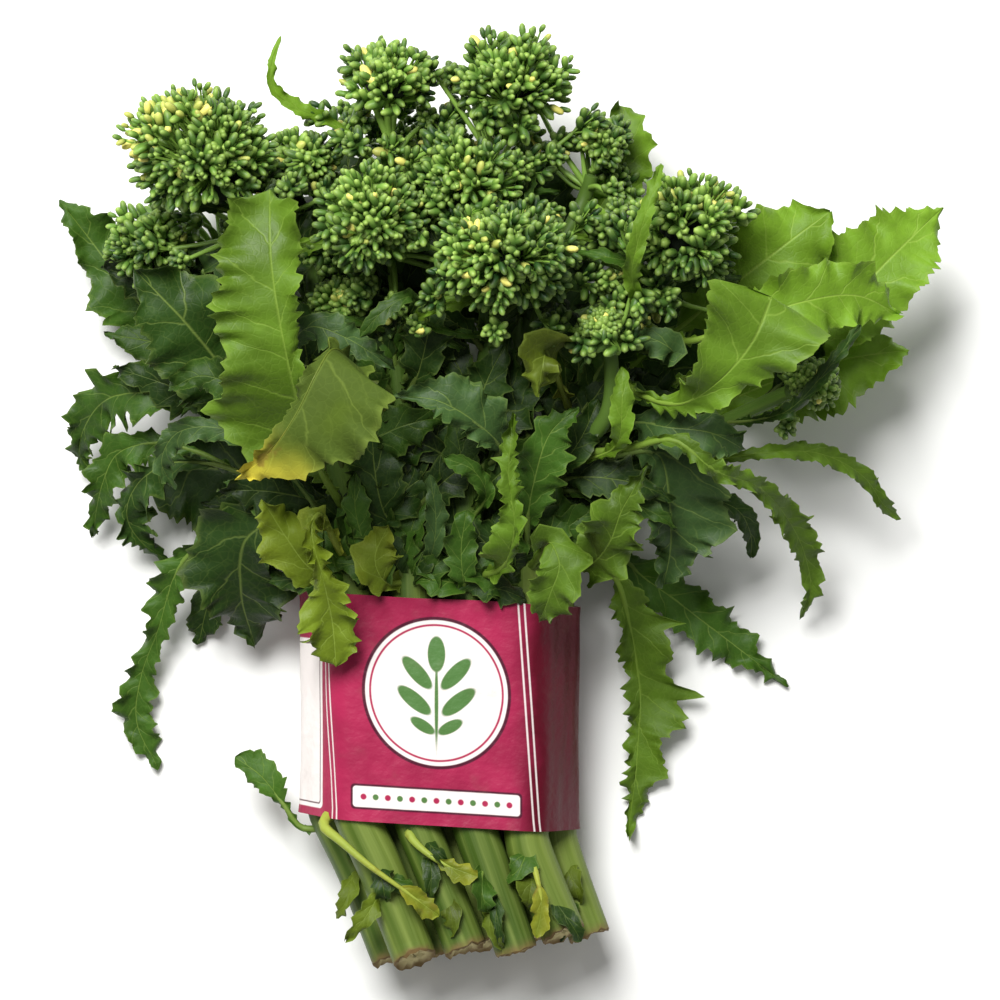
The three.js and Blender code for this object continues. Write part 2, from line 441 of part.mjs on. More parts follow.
// A flower head: buds that stand out of a smaller core, on a neck that meets the stalk.
function headSolid(head, seed, sink = 0) {
  const { faces, foot } = footOf(head);
  foot.addScaledVector(faces, -sink);
  const turn = new THREE.Quaternion().setFromUnitVectors(up, faces);
  const middle = vec(head.at);
  const coreRadius = head.radius * 0.68;
  const core = new THREE.IcosahedronGeometry(coreRadius, 0)
    .scale(1, 1, 0.8)
    .applyQuaternion(turn)
    .translate(...head.at);
  const neck = tube(new THREE.LineCurve3(foot, middle), [head.radius * 0.17, head.radius * 0.3], 6, spread(1));
  const parts = [solidOf(core), neck];
  const golden = Math.PI * (3 - Math.sqrt(5));
  const budRadius = (1.08 * head.radius) / Math.sqrt(head.buds);
  for (let i = 0; i < head.buds; i++) {
    const lowest = -0.42; // cosine of the widest angle from the way the head faces
    const c = 1 - ((1 - lowest) * (i + 0.5)) / head.buds;
    const s = Math.sqrt(1 - c * c);
    const angle = i * golden + seed;
    const out = new THREE.Vector3(s * Math.cos(angle), s * Math.sin(angle), c).applyQuaternion(turn);
    const reach = head.radius * (1 - 0.05 * Math.abs(Math.sin(3.7 * i + seed)));
    const length = reach * 0.55;
    const start = middle.clone().addScaledVector(out, reach - length);
    parts.push(bud(start, out, length, budRadius, i * 1.3));
  }
  return largest(wasm.Manifold.union(parts));
}

// The way that a leaf's upper face looks at a share t of its length, square to its midrib.
function lookAt(leaf, t, tangent) {
  const looks = leaf.looks ?? [[0, 0, 1]];
  const along = (axis) => (looks.length > 1 ? between(looks.map((l) => l[axis]), t) : looks[0][axis]);
  const look = new THREE.Vector3(along(0), along(1), along(2));
  return look.addScaledVector(tangent, -look.dot(tangent)).normalize();
}

// A leaf: a round leaf stem that thins into the midrib, and a toothed, waved blade on both sides of it.
function leafSolid(leaf, start, seed) {
  const curve = new THREE.CatmullRomCurve3([start, ...leaf.via.map(vec)]);
  const { stem, cup = 0.12, wave = 0.14, petiole = 2.2 } = leaf;
  const widest = Math.max(...leaf.left, ...leaf.right);
  const pitch = widest > 8 ? TOOTH_PITCH : 1.3 * TOOTH_PITCH;
  const stations = THREE.MathUtils.clamp(Math.round(curve.getLength() / pitch), 5, 14);
  const shares = Array.from({ length: stations + 1 }, (_, i) => i / stations);
  const rings = shares.map((t, i) => {
    const [tangent, middle] = [curve.getTangentAt(t), curve.getPointAt(t)];
    const normal = lookAt(leaf, t, tangent);
    const right = tangent.clone().cross(normal);
    const s = (t - stem) / (1 - stem);
    const tooth = i % 2 ? 0.78 : 1;
    const rib = THREE.MathUtils.lerp(petiole, 0.7, t);
    const flat = s <= 0 ? 0 : Math.min(1, 4 * s);
    const sideOf = (sign, widths) => {
      const w = s <= 0 ? rib * 0.8 : Math.max(between(widths, s) * tooth, rib);
      const lift = flat * w * (cup + wave * Math.sin(2.1 * i + seed + sign));
      const edge = middle.clone()
        .addScaledVector(right, sign * w)
        .addScaledVector(normal, lift)
        .addScaledVector(tangent, 0.2 * w * flat * (1 - s));
      const thick = THREE.MathUtils.lerp(rib * 0.55, LEAF_WALL / 2, flat);
      return [thick, -thick].map((rise) => edge.clone().addScaledVector(normal, rise));
    };
    const [leftTop, leftBottom] = sideOf(-1, leaf.left);
    const [rightTop, rightBottom] = sideOf(1, leaf.right);
    const ribTop = middle.clone().addScaledVector(normal, THREE.MathUtils.lerp(rib, 0.4, flat));
    const ribBottom = middle.clone().addScaledVector(normal, -rib);
    return pressFlat([leftTop, ribTop, rightTop, rightBottom, ribBottom, leftBottom]);
  });
  return loft(rings, (k) => k === 0 || k === 3);
}

// What would sink below the surface that the bunch lies on is pressed flat against it.
function pressFlat([leftTop, ribTop, rightTop, rightBottom, ribBottom, leftBottom]) {
  for (const [top, bottom] of [[leftTop, leftBottom], [ribTop, ribBottom], [rightTop, rightBottom]]) {
    bottom.z = Math.max(bottom.z, 0);
    top.z = Math.max(top.z, LEAF_WALL);
  }
  return [leftTop, ribTop, rightTop, rightBottom, ribBottom, leftBottom];
}

// The band: a paper wall round the hull of the stalks, with a lap where its two ends are glued.
function bandSolid() {
  const rim = (grow) => {
    const circle = [];
    for (const { column, row } of STALKS)
      for (let k = 0; k < 12; k++) {
        const angle = (Math.PI * (k + 0.5)) / 6;
        const radius = (STALK_RADIUS + grow) / Math.cos(Math.PI / 12);
        circle.push([
          BUNDLE_X + column * STALK_PITCH + radius * Math.cos(angle),
          LOWEST_ROW + row * ROW_RISE + radius * Math.sin(angle),
        ]);
      }
    return hull(circle);
  };
  const wall = (outline, low, high) => {
    const shape = new THREE.Shape(outline.map(([x, z]) => new THREE.Vector2(x, z)));
    const geometry = new THREE.ExtrudeGeometry(shape, { depth: high - low, bevelEnabled: false });
    const position = geometry.getAttribute("position");
    for (let i = 0; i < position.count; i++) {
      const [x, z, y] = [position.getX(i), position.getY(i), high - position.getZ(i)];
      position.setXYZ(i, x, y - BAND_SLANT * (x - BUNDLE_X), z);
    }
    return solidOf(geometry);
  };
  const layer = (inside, outside) =>
    wall(rim(outside), BAND_BOTTOM, BAND_TOP).subtract(wall(rim(inside), BAND_BOTTOM - 20, BAND_TOP + 20));
  const flank = new THREE.BoxGeometry(40, 200, LAP[1] - LAP[0])
    .translate(BUNDLE_X - 60, (BAND_TOP + BAND_BOTTOM) / 2, (LAP[0] + LAP[1]) / 2);
  const lap = layer(BAND_SLACK + BAND_WALL / 2, BAND_SLACK + 2 * BAND_WALL).intersect(solidOf(flank));
  return layer(BAND_SLACK, BAND_SLACK + BAND_WALL).add(lap);
}

// Convex hull of points in the plane, anticlockwise.
function hull(points) {
  const sorted = points.toSorted((a, b) => a[0] - b[0] || a[1] - b[1]);
  const half = (list) => {
    const kept = [];
    for (const p of list) {
      while (kept.length > 1) {
        const [a, b] = kept.slice(-2);
        if ((b[0] - a[0]) * (p[1] - a[1]) - (b[1] - a[1]) * (p[0] - a[0]) > 1e-6) break;
        kept.pop();
      }
      kept.push(p);
    }
    return kept.slice(0, -1);
  };
  return [...half(sorted), ...half(sorted.reverse())];
}

const group = new THREE.Group();
const stalkOf = Object.fromEntries(STALKS.map((s) => [s.name, s]));
const seedOf = Object.fromEntries(Object.keys(HEADS).map((name, i) => [name, i]));
const grown = (leaf, i) => leafSolid(leaf, pointAtY(stalkCurves[leaf.stalk], leaf.from), i);

group.add(mesh("band", bandSolid(), BAND_PINK));
for (const stalk of STALKS) {
  const parts = [stalkSolid(stalk)];
  for (const head of [stalk.head, stalk.side?.head])
    if (SMALL_HEADS.includes(head)) parts.push(headSolid(HEADS[head], seedOf[head], 2 * GAP));
  LEAVES.forEach((leaf, i) => {
    if (leaf.node && leaf.stalk === stalk.name) parts.push(grown(leaf, i));
  });
  const whole = largest(wasm.Manifold.union(parts));
  group.add(mesh("stalk_" + stalk.name, whole, STALK_GREEN));
}
for (const [name, head] of Object.entries(HEADS))
  if (!SMALL_HEADS.includes(name)) group.add(mesh("head_" + name, headSolid(head, seedOf[name]), HEAD_GREEN));
LEAVES.forEach((leaf, i) => {
  if (leaf.node) return;
  const cut = grown(leaf, i).subtract(stalkSolid(stalkOf[leaf.stalk], GAP));
  group.add(mesh("leaf_" + leaf.name, largest(cut), LEAF_GREENS[leaf.tint]));
});
const box = new THREE.Box3().setFromObject(group);
const middle = box.getCenter(new THREE.Vector3());
group.position.set(-middle.x, -middle.y, -box.min.z);

export default group;
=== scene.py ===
"""A bunch of broccoli raab lying on a pale floor: ridged stalks, toothed and veined leaves, heads of
small buds and a printed paper band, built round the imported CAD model. Tables are in millimetres, in the
drawing's own axes: +Z up from the floor, +Y from the cut ends of the stalks to the flower heads."""

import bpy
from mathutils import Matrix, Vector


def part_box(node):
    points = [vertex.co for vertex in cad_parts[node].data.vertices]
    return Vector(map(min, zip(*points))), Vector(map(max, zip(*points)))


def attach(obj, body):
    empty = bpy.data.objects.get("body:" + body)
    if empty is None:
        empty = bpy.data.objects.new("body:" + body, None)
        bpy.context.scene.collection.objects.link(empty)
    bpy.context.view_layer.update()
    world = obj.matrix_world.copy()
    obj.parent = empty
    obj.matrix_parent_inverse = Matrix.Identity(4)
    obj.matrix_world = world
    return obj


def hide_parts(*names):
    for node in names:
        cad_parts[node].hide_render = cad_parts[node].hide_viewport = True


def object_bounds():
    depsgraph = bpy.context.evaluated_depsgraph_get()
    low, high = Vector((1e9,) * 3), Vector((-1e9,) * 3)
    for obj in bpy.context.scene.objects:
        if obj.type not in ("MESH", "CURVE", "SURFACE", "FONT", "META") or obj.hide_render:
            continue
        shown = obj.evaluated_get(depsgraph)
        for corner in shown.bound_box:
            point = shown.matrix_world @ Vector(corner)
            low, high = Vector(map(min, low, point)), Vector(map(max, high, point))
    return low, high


bl_info = {
    "name": "Broccoli Raab Bunch",
    "version": (1, 0, 0),
    "blender": (4, 5, 0),
    "location": "View3D > Sidebar > Raab",
    "description": "Grows the stalks, leaves, flower heads and paper band of a bunch of broccoli raab",
    "category": "Object",
}

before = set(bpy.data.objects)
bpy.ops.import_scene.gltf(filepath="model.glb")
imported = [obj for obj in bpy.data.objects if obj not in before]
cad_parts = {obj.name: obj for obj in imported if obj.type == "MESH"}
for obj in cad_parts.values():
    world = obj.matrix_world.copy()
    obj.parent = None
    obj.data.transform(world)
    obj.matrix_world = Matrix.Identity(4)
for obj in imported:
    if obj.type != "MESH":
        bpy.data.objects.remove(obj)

from dataclasses import dataclass, field

import bpy
import numpy as np
from mathutils import Vector

CAD_LOW, CAD_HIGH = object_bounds()

MM = 0.001

# Driving dimensions, the same as in the part's source
STALK_RADIUS = 8.1
STALK_PITCH = 21
ROW_RISE = 16.5
BUNDLE_X = -22
BAND_TOP = -36
BAND_BOTTOM = -118
BAND_WALL = 0.8
BAND_SLACK = 0.8
LOWEST_ROW = STALK_RADIUS + BAND_SLACK + BAND_WALL  # height of the lowest stalks' middles
BAND_SLANT = 0.06
CUT_Y = -166
CUT_SHIFT = 19.5
CUT_PINCH = 3
INNER_BEND = 6  # a stalk's slanting foot straightens this far over the band's foot
OUTER_BEND = -5.5  # and at the band's right side, under it
LEAF_STATION = 11  # the part's source waves a leaf's edge over stations this far apart
TOOTH_LEAN = 0.66  # where the tip of a leaf's tooth lies between its two notches
CUT_FAN = 2.5  # each column of stalks is cut this much further along +Y than the one before it
CUT_STRAY = 4  # and a single stalk up to this far from that line
FOOT_POINT = 18  # a point this far under the band keeps a stalk's slanting foot straight
BEND_POINTS = (3, 13.5)  # points this far over the bend of its foot set it straight again
TOP_POINT = 4  # and one this far under the band's top keeps it so
NECK_FOOT = 0.85  # a head's neck starts this share of its radius behind its middle
NECK_RUN = 0.7  # and its stalk arrives straight over this share of it

# Where the random draws of each kind of piece start
SEEDS = {"blade": 100, "small leaf": 200, "head": 500, "stalk": 900, "fill": 3000, "band": 77}
GROUPS_APART = 60  # more than any group's small leaves

# The drawing's origin in the frame, found from two sides of the band
BAND_RIGHT = BUNDLE_X + 2 * STALK_PITCH + STALK_RADIUS + BAND_SLACK + BAND_WALL
band_low, band_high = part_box("band")
ORIGIN = np.array([
    band_high.x - BAND_RIGHT * MM,
    band_low.y - (BAND_BOTTOM - BAND_SLANT * (BAND_RIGHT - BUNDLE_X)) * MM,
    band_low.z,
])


@dataclass
class Head:
    """A flower head: its middle, its radius and the way it faces."""
    at: tuple
    radius: float
    faces: tuple
    ripe: float = 0.03  # share of its buds that have turned yellow
    # Its tufts are painted lighter on this side, as painted light, and its yellow buds gather there.
    lit_ripe_side: tuple = (-0.5, 0.6, 0.6)  # the side where its buds are palest and the yellow ones stand
    wide: tuple = (1, 1, 1)  # how far it is stretched along each axis
    hood: float = -0.45  # its tufts stand where the cosine to the way it faces is over this
    crowded: float = 1.0  # how close its tufts stand, beside the other heads'


@dataclass
class Side:
    """A side branch: the height where it leaves its stalk, what it passes, and the head it carries."""
    root: float
    via: list
    head: str
    top: float


@dataclass
class Stalk:
    """A stalk: its column and row in the band, what it passes above it, its head, its radius there."""
    name: str
    column: float
    row: int
    via: list
    head: str
    top: float
    side: Side = None


@dataclass
class Leaf:
    """A leaf: its stalk, the height along +Y where it leaves it, the share of it that is bare leaf stem,
    the points that its midrib passes, and its half widths from the blade's foot to its tip. Its upper
    face looks the ways that looks lists from foot to tip."""
    name: str
    stalk: str
    root: float
    tint: str
    stem: float
    via: list
    left: list
    right: list
    looks: list = field(default_factory=lambda: [(0, 0, 1)])
    cup: float = 0.12
    wave: float = 0.14
    fused: bool = False  # part of its stalk's node in the CAD model
    lobes: float = 0.2  # how deeply its edge is cut between side veins, as a share of its width
    age: tuple = (0, 0)  # yellowing at its foot and at its tip
    tone: float = 0.5  # 0 for the darkest green of its tint, 1 for the lightest
    rib: float = 1.0  # how thick its stem is, beside the other leaves'

    @property
    def widest(self):
        return max(*self.left, *self.right)


HEADS = {
    "front": Head(at=(3, 84, 107), radius=27, faces=(0.05, 0.15, 1), ripe=0.07, lit_ripe_side=(-0.9, -0.1, 0.4),
                  wide=(1.22, 0.86, 0.9)),
    "centre": Head(at=(-10, 113, 78), radius=22, faces=(-0.05, 0.6, 0.8), wide=(1.18, 1, 1)),
    "left": Head(at=(-45, 98, 92), radius=24, faces=(-0.2, 0.35, 0.92), wide=(1.05, 0.95, 1), crowded=1.12),
    "top_left": Head(at=(-40, 146, 60), radius=24, faces=(0, 1, 0.3), wide=(1, 1, 0.95), hood=0.1),
    "top_right": Head(at=(5, 147, 58), radius=27, faces=(0.1, 1, 0.35), wide=(1.1, 0.95, 0.95), hood=-0.05),
    "upper_left": Head(at=(-104, 122, 78), radius=30, faces=(-0.4, 0.7, 0.6), ripe=0.12,
                       lit_ripe_side=(-0.8, 0.55, 0.2), wide=(1.12, 0.98, 0.95), hood=-0.35, crowded=1.3),
    "far_left": Head(at=(-126, 93, 40), radius=21, faces=(-0.9, 0.1, 0.4), wide=(1, 1.1, 1)),
    "left_back": Head(at=(-72, 122, 46), radius=17, faces=(-0.1, 0.8, 0.5), wide=(1.1, 1, 1)),
    "right": Head(at=(66, 95, 84), radius=27, faces=(0.3, 0.5, 0.8), ripe=0.1, lit_ripe_side=(0.1, 0.9, 0.4),
                  wide=(0.95, 0.95, 0.95)),
    "right_back": Head(at=(50, 90, 38), radius=16, faces=(0.3, 0.8, 0.5)),
    "right_top": Head(at=(37, 129, 46), radius=14, faces=(0.3, 0.9, 0.3), hood=-0.2),
    "right_front": Head(at=(36, 61, 93), radius=9, faces=(-0.2, 0.5, 0.8), hood=0),
    "far_right": Head(at=(112, 42, 60), radius=12, faces=(0.7, 0.3, 0.6)),
    "lower_left": Head(at=(-57, 70, 64), radius=14, faces=(-0.3, 0.1, 0.95), hood=-0.2),
    "under_left": Head(at=(-80, 92, 20), radius=15, faces=(-0.5, 0.85, 0.1), hood=-0.2),
    "under_centre": Head(at=(-20, 124, 23), radius=17, faces=(0, 1, 0.1), hood=-0.2),
    "under_right": Head(at=(64, 104, 15), radius=13, faces=(0.5, 0.85, 0.1), hood=-0.2),
}

STALKS = [
    Stalk("a1", column=-1.5, row=2, via=[(-56, 0, 47), (-74, 55, 56)], head="upper_left", top=4.2,
          side=Side(root=20, via=[(-68, 70, 48)], head="left_back", top=2.6)),
    Stalk("a2", column=-0.5, row=2, via=[(-34, 5, 46), (-38, 55, 52)], head="left", top=4,
          side=Side(root=10, via=[(-48, 45, 50)], head="lower_left", top=2.6)),
    Stalk("a3", column=0.5, row=2, via=[(-12, 5, 47), (-4, 50, 56)], head="front", top=4.4),
    Stalk("a4", column=1.5, row=2, via=[(12, 0, 48), (38, 50, 56)], head="right", top=4,
          side=Side(root=10, via=[(38, 30, 70)], head="right_front", top=2.6)),
    Stalk("b1", column=-2, row=1, via=[(-68, -5, 28), (-92, 40, 32)], head="far_left", top=3.4),
    Stalk("b2", column=-1, row=1, via=[(-42, 5, 31), (-42, 65, 42)], head="top_left", top=4),
    Stalk("b3", column=0, row=1, via=[(-22, 5, 31), (-16, 60, 42)], head="centre", top=3.8),
    Stalk("b4", column=1, row=1, via=[(-2, 5, 31), (4, 65, 44)], head="top_right", top=4.2,
          side=Side(root=45, via=[(20, 88, 44)], head="right_top", top=2.6)),
    Stalk("b5", column=2, row=1, via=[(20, -5, 30), (34, 40, 36)], head="right_back", top=3),
    Stalk("c1", column=-1.5, row=0, via=[(-54, 0, 12), (-62, 45, 15)], head="under_left", top=3),
    Stalk("c2", column=-0.5, row=0, via=[(-33, 5, 13), (-26, 60, 18)], head="under_centre", top=3.4),
    Stalk("c3", column=0.5, row=0, via=[(-10, 5, 13), (10, 50, 17)], head="under_right", top=3.2),
    Stalk("c4", column=1.5, row=0, via=[(12, -12, 13), (50, 12, 18)], head="far_right", top=2.8),
]

LEAVES = [
    Leaf("tall", "a1", root=-6, tint="bright", stem=0.22, lobes=0.12, tone=0.1,
         via=[(-66, 16, 82), (-74, 50, 108), (-79, 82, 115), (-80, 108, 108)],
         left=[3, 23, 33, 22, 24, 19, 17, 10], right=[3, 5, 5, 6, 8, 10, 13, 8]),
    Leaf("folded", "a2", root=24, tint="yellow", stem=0.3, lobes=0.14, tone=-0.35, rib=0.55,
         age=(0, 0, 0, 0.12, 0.9),
         looks=[(0, -0.8, 0.6), (0, -1, 0.1), (0, -0.5, -0.8), (0.2, 0, -1), (0.2, 0, -1)],
         via=[(-50, 44, 88), (-58, 52, 112), (-63, 44, 121), (-70, 30, 120), (-80, 16, 115),
              (-92, 7, 106)],
         left=[3, 3, 4, 6, 6, 5, 2], right=[3, 11, 25, 32, 23, 11, 2]),
    Leaf("rolled", "a1", root=10, tint="mid", stem=0.3, tone=0, lobes=0.12,
         via=[(-74, 28, 71), (-88, 38, 79), (-106, 44, 81), (-118, 39, 77)],
         left=[3, 7, 9, 7, 5, 2], right=[3, 7, 9, 9, 7, 3]),
    Leaf("crossing", "a1", root=32, tint="blue", stem=0.4,
         via=[(-76, 50, 76), (-67, 61, 89), (-54, 57, 92), (-37, 46, 88)],
         left=[3, 5, 7, 6, 4, 2], right=[3, 6, 8, 7, 4, 2]),
    Leaf("left_high", "b1", root=8, tint="dark", stem=0.3, lobes=0.18,
         via=[(-84, 24, 52), (-98, 45, 60), (-112, 63, 72), (-130, 82, 78)],
         left=[3, 16, 22, 20, 14, 3], right=[3, 14, 20, 20, 17, 4]),
    Leaf("far_left", "b1", root=24, tint="mid", stem=0.3, tone=0.4, lobes=0.26,
         via=[(-110, 50, 20), (-135, 74, 18), (-150, 94, 20), (-163, 111, 22)],
         left=[3, 15, 18, 14, 10, 3], right=[3, 14, 18, 18, 14, 4]),
    Leaf("left_arc", "a1", root=-22, tint="blue", stem=0.35,
         via=[(-84, 18, 64), (-102, 26, 68), (-116, 24, 64), (-122, 14, 58), (-118, 4, 50)],
         left=[2, 4, 6, 6, 5, 2], right=[2, 3, 4, 5, 4, 2]),
    Leaf("left_big", "b1", root=-26, tint="dark", stem=0.28, tone=0.2,
         via=[(-80, -8, 50), (-92, -14, 48), (-95, -34, 34), (-91, -54, 16)],
         left=[3, 18, 24, 22, 18, 14, 4], right=[3, 16, 22, 20, 13, 8, 3]),
    Leaf("droop_high", "b1", root=12, tint="mid", stem=0.25, lobes=0.3, fused=True,
         via=[(-94, 26, 42), (-112, 36, 45), (-128, 39, 42), (-144, 37, 34), (-154, 26, 22),
              (-156, 16, 12), (-150, 8, 6)],
         left=[4, 9, 12, 13, 11, 7, 2], right=[4, 9, 13, 14, 10, 6, 2]),
    Leaf("droop_low", "b1", root=-4, tint="mid", stem=0.45, lobes=0.32,
         via=[(-92, 8, 34), (-112, 18, 33), (-128, 21, 30), (-141, 17, 27), (-147, 6, 22),
              (-150, -4, 15), (-152, -14, 7)],
         left=[4, 10, 11, 9, 7, 2], right=[3, 8, 9, 8, 6, 2]),
    Leaf("droop_near", "b1", root=-14, tint="dark", stem=0.4, lobes=0.32,
         via=[(-84, 4, 42), (-104, 13, 44), (-122, 13, 38), (-134, 5, 30), (-138, -6, 22),
              (-133, -16, 14), (-123, -23, 8)],
         left=[4, 11, 14, 12, 10, 3], right=[3, 6, 7, 6, 6, 3]),
    Leaf("hanging", "b1", root=-20, tint="mid", stem=0.3, lobes=0.32, tone=0.8,
         via=[(-84, -14, 31), (-102, -12, 31), (-118, -24, 24), (-127, -48, 15), (-134, -66, 8),
              (-136, -83, 4), (-128, -101, 2)],
         left=[2, 8, 9, 6, 7, 10, 9, 3], right=[2, 9, 10, 6, 7, 10, 9, 3]),
    Leaf("left_low", "c1", root=-22, tint="dark", stem=0.3, fused=True,
         via=[(-78, -20, 12), (-97, -24, 12), (-108, -37, 8), (-113, -54, 2)],
         left=[2, 9, 11, 9, 3], right=[2, 8, 10, 9, 3]),
    Leaf("left_fill", "c1", root=-6, tint="dark", stem=0.2, fused=True,
         via=[(-72, 4, 12), (-94, 10, 12), (-114, 12, 9), (-134, 9, 4)],
         left=[3, 16, 25, 27, 22, 6], right=[3, 16, 22, 20, 14, 4]),
    Leaf("stub", "b1", root=-120, tint="mid", stem=0.45, fused=True, tone=0.7,
         via=[(-73, -121, 25), (-80, -112, 26), (-88, -102, 25), (-98, -95, 22)],
         left=[2, 5, 6, 3], right=[2, 8, 9, 5]),
    Leaf("pale", "a1", root=-30, tint="yellow", stem=0.2, age=(0.1, 0.2), tone=0.55, lobes=0.26,
         via=[(-68, -25, 57), (-77, -13, 63), (-85, 0, 69)],
         left=[3, 11, 15, 12, 3], right=[3, 9, 10, 9, 3]),
    Leaf("over_band", "a1", root=-27, tint="yellow", stem=0.3, lobes=0.3, age=(0.3, 0.05), tone=0.9,
         looks=[(-0.5, -1, 0), (-0.3, -1, 0), (0, 0, 1), (0, 0, 1), (0, 0, 1)],
         via=[(-60, -14, 60), (-64, -5, 73), (-67, -10, 80), (-63, -28, 75), (-60, -45, 65),
              (-59, -60, 60)],
         left=[3, 5, 5, 6, 12, 13, 8], right=[3, 5, 5, 6, 13, 14, 8]),
    Leaf("olive", "a2", root=-30, tint="yellow", stem=0.2, tone=0.1, age=(0.1, 0.25),
         via=[(-42, -29, 57), (-45, -21, 62), (-40, -9, 66)],
         left=[3, 8, 9, 8, 3], right=[3, 9, 11, 8, 3]),
    Leaf("narrow", "a2", root=-22, tint="mid", stem=0.2, fused=True,
         via=[(-48, -16, 57), (-52, -4, 59), (-52, 10, 62)],
         left=[2, 4, 5, 2], right=[2, 5, 6, 2]),
    Leaf("dark_upright", "a2", root=-20, tint="dark", stem=0.15, fused=True,
         via=[(-42, -4, 56), (-45, 10, 60), (-46, 25, 63)],
         left=[3, 11, 14, 11, 3], right=[3, 11, 13, 11, 3]),
    Leaf("wavy", "a2", root=-30, tint="blue", stem=0.2, fused=True,
         via=[(-25, -20, 56), (-23, -8, 64), (-25, 9, 68)],
         left=[2, 4, 4, 2], right=[2, 4, 5, 2]),
    Leaf("upright", "a3", root=-32, tint="mid", stem=0.2, fused=True,
         via=[(-13, -30, 56), (-14, -18, 62), (-12, -4, 66)],
         left=[2, 6, 7, 3], right=[2, 6, 7, 3]),
    Leaf("veined", "a3", root=8, tint="blue", stem=0.3,
         via=[(0, 18, 70), (-8, 27, 82), (-22, 35, 86), (-38, 37, 84)],
         left=[3, 7, 8, 8, 5, 2], right=[3, 10, 14, 16, 9, 2]),
    Leaf("curl", "a3", root=-10, tint="mid", stem=0.3, fused=True,
         via=[(-5, 2, 62), (-10, 11, 70), (-20, 15, 72)],
         left=[2, 4, 5, 3], right=[2, 4, 4, 3]),
    Leaf("fill_left", "a2", root=34, tint="dark", stem=0.2, fused=True,
         via=[(-30, 44, 64), (-26, 58, 74), (-24, 74, 80)],
         left=[3, 9, 10, 3], right=[3, 9, 9, 3]),
    Leaf("fill_right", "a3", root=12, tint="dark", stem=0.2, fused=True,
         via=[(-9, 28, 60), (-5, 42, 65), (2, 56, 67)],
         left=[3, 8, 9, 3], right=[3, 8, 9, 3]),
    Leaf("spotted", "a4", root=30, tint="yellow", stem=0.5, tone=0, age=(0.2, 0.15), lobes=0.26,
         looks=[(0, -1, 0.3), (0.1, -0.3, 1)],
         via=[(21, 42, 74), (16, 53, 91), (15, 48, 100), (13, 36, 100)],
         left=[4, 12, 10, 7, 2], right=[4, 13, 17, 9, 2]),
    Leaf("strip_left", "a2", root=58, tint="mid", tone=0, stem=0.6, fused=True,
         via=[(-30, 70, 90), (-33, 71, 99), (-42, 65, 101), (-49, 57, 98)],
         left=[2, 3, 4, 2], right=[2, 3, 4, 2]),
    Leaf("centre_strip", "a3", root=-28, tint="bright", stem=0.2, tone=0,
         via=[(1, -24, 68), (5, -9, 82), (3, 9, 88), (4, 22, 90), (5, 31, 87)],
         left=[3, 12, 11, 5, 5, 5, 2], right=[3, 4, 4, 5, 5, 4, 2]),
    Leaf("centre_low", "a4", root=-26, tint="bright", stem=0.3, tone=0,
         looks=[(0, -1, 0.3), (0, -0.3, 1), (0, 0, 1), (0, 0, 1)],
         via=[(15, -19, 64), (18, -15, 76), (21, -23, 80), (18, -33, 76), (14, -44, 65)],
         left=[3, 9, 12, 10, 3], right=[3, 7, 10, 10, 3]),
    Leaf("centre_right", "b5", root=-20, tint="bright", stem=0.3, tone=0,
         via=[(31, -24, 56), (39, -15, 76), (43, -4, 82), (48, 5, 85), (52, 12, 86)],
         left=[3, 12, 14, 8, 2], right=[3, 12, 12, 7, 2]),
    Leaf("behind", "a4", root=-24, tint="mid", stem=0.25,
         via=[(10, -8, 60), (12, 6, 70), (18, 24, 79), (28, 33, 80)],
         left=[3, 7, 9, 9, 7, 2], right=[3, 8, 11, 12, 8, 2]),
    Leaf("inner", "a4", root=4, tint="dark", stem=0.25, fused=True,
         via=[(22, 12, 62), (30, 24, 67), (35, 36, 68)],
         left=[2, 7, 7, 2], right=[2, 7, 7, 2]),
    Leaf("thin_upright", "a4", root=14, tint="bright", stem=0.4, fused=True,
         via=[(36, 16, 66), (42, 21, 80), (43, 34, 88), (43, 47, 88)],
         left=[2, 4, 5, 2], right=[2, 4, 5, 2]),
    Leaf("right_curve", "a4", root=28, tint="mid", stem=0.3, fused=True,
         via=[(37, 35, 60), (44, 39, 60), (50, 38, 60), (54, 34, 59)],
         left=[2, 4, 5, 2], right=[2, 4, 5, 2]),
    Leaf("right_dark", "a4", root=56, tint="blue", stem=0.35, fused=True,
         via=[(57, 52, 74), (61, 53, 82), (54, 57, 85), (46, 57, 80)],
         left=[2, 6, 6, 2], right=[2, 6, 6, 2]),
    Leaf("leaflet", "a4", root=58, tint="bright", stem=0.3, fused=True,
         via=[(48, 68, 86), (46, 80, 104), (49, 94, 112), (53, 107, 113), (56, 117, 108)],
         left=[2, 3, 4, 3, 2], right=[2, 3, 4, 3, 2]),
    Leaf("blue_low", "b5", root=10, tint="blue", stem=0.3,
         via=[(42, 16, 46), (57, 16, 60), (61, 0, 55), (62, -18, 43), (60, -31, 34)],
         left=[3, 17, 26, 23, 13, 3], right=[3, 8, 10, 10, 8, 3]),
    Leaf("blue_high", "b5", root=20, tint="blue", stem=0.35,
         via=[(46, 28, 56), (60, 26, 72), (75, 24, 74), (88, 18, 66)],
         left=[3, 7, 9, 8, 3], right=[3, 9, 13, 11, 3]),
    Leaf("right_long", "a4", root=16, tint="bright", tone=-0.1, stem=0.25, fused=True,
         via=[(44, 18, 72), (62, 21, 85), (75, 11, 84), (92, 5, 66), (104, -6, 46), (112, -20, 30),
              (115, -34, 20), (112, -44, 12)],
         left=[2, 5, 5, 4, 7, 8, 5, 2], right=[2, 4, 4, 4, 6, 5, 4, 2]),
    Leaf("right_thin", "c4", root=8, tint="bright", tone=0, stem=0.35, fused=True,
         via=[(72, 13, 44), (94, 17, 56), (115, 17, 52), (132, 9, 42), (142, -3, 30), (148, -7, 24)],
         left=[2, 3, 4, 4, 4, 2], right=[2, 3, 4, 4, 3, 2]),
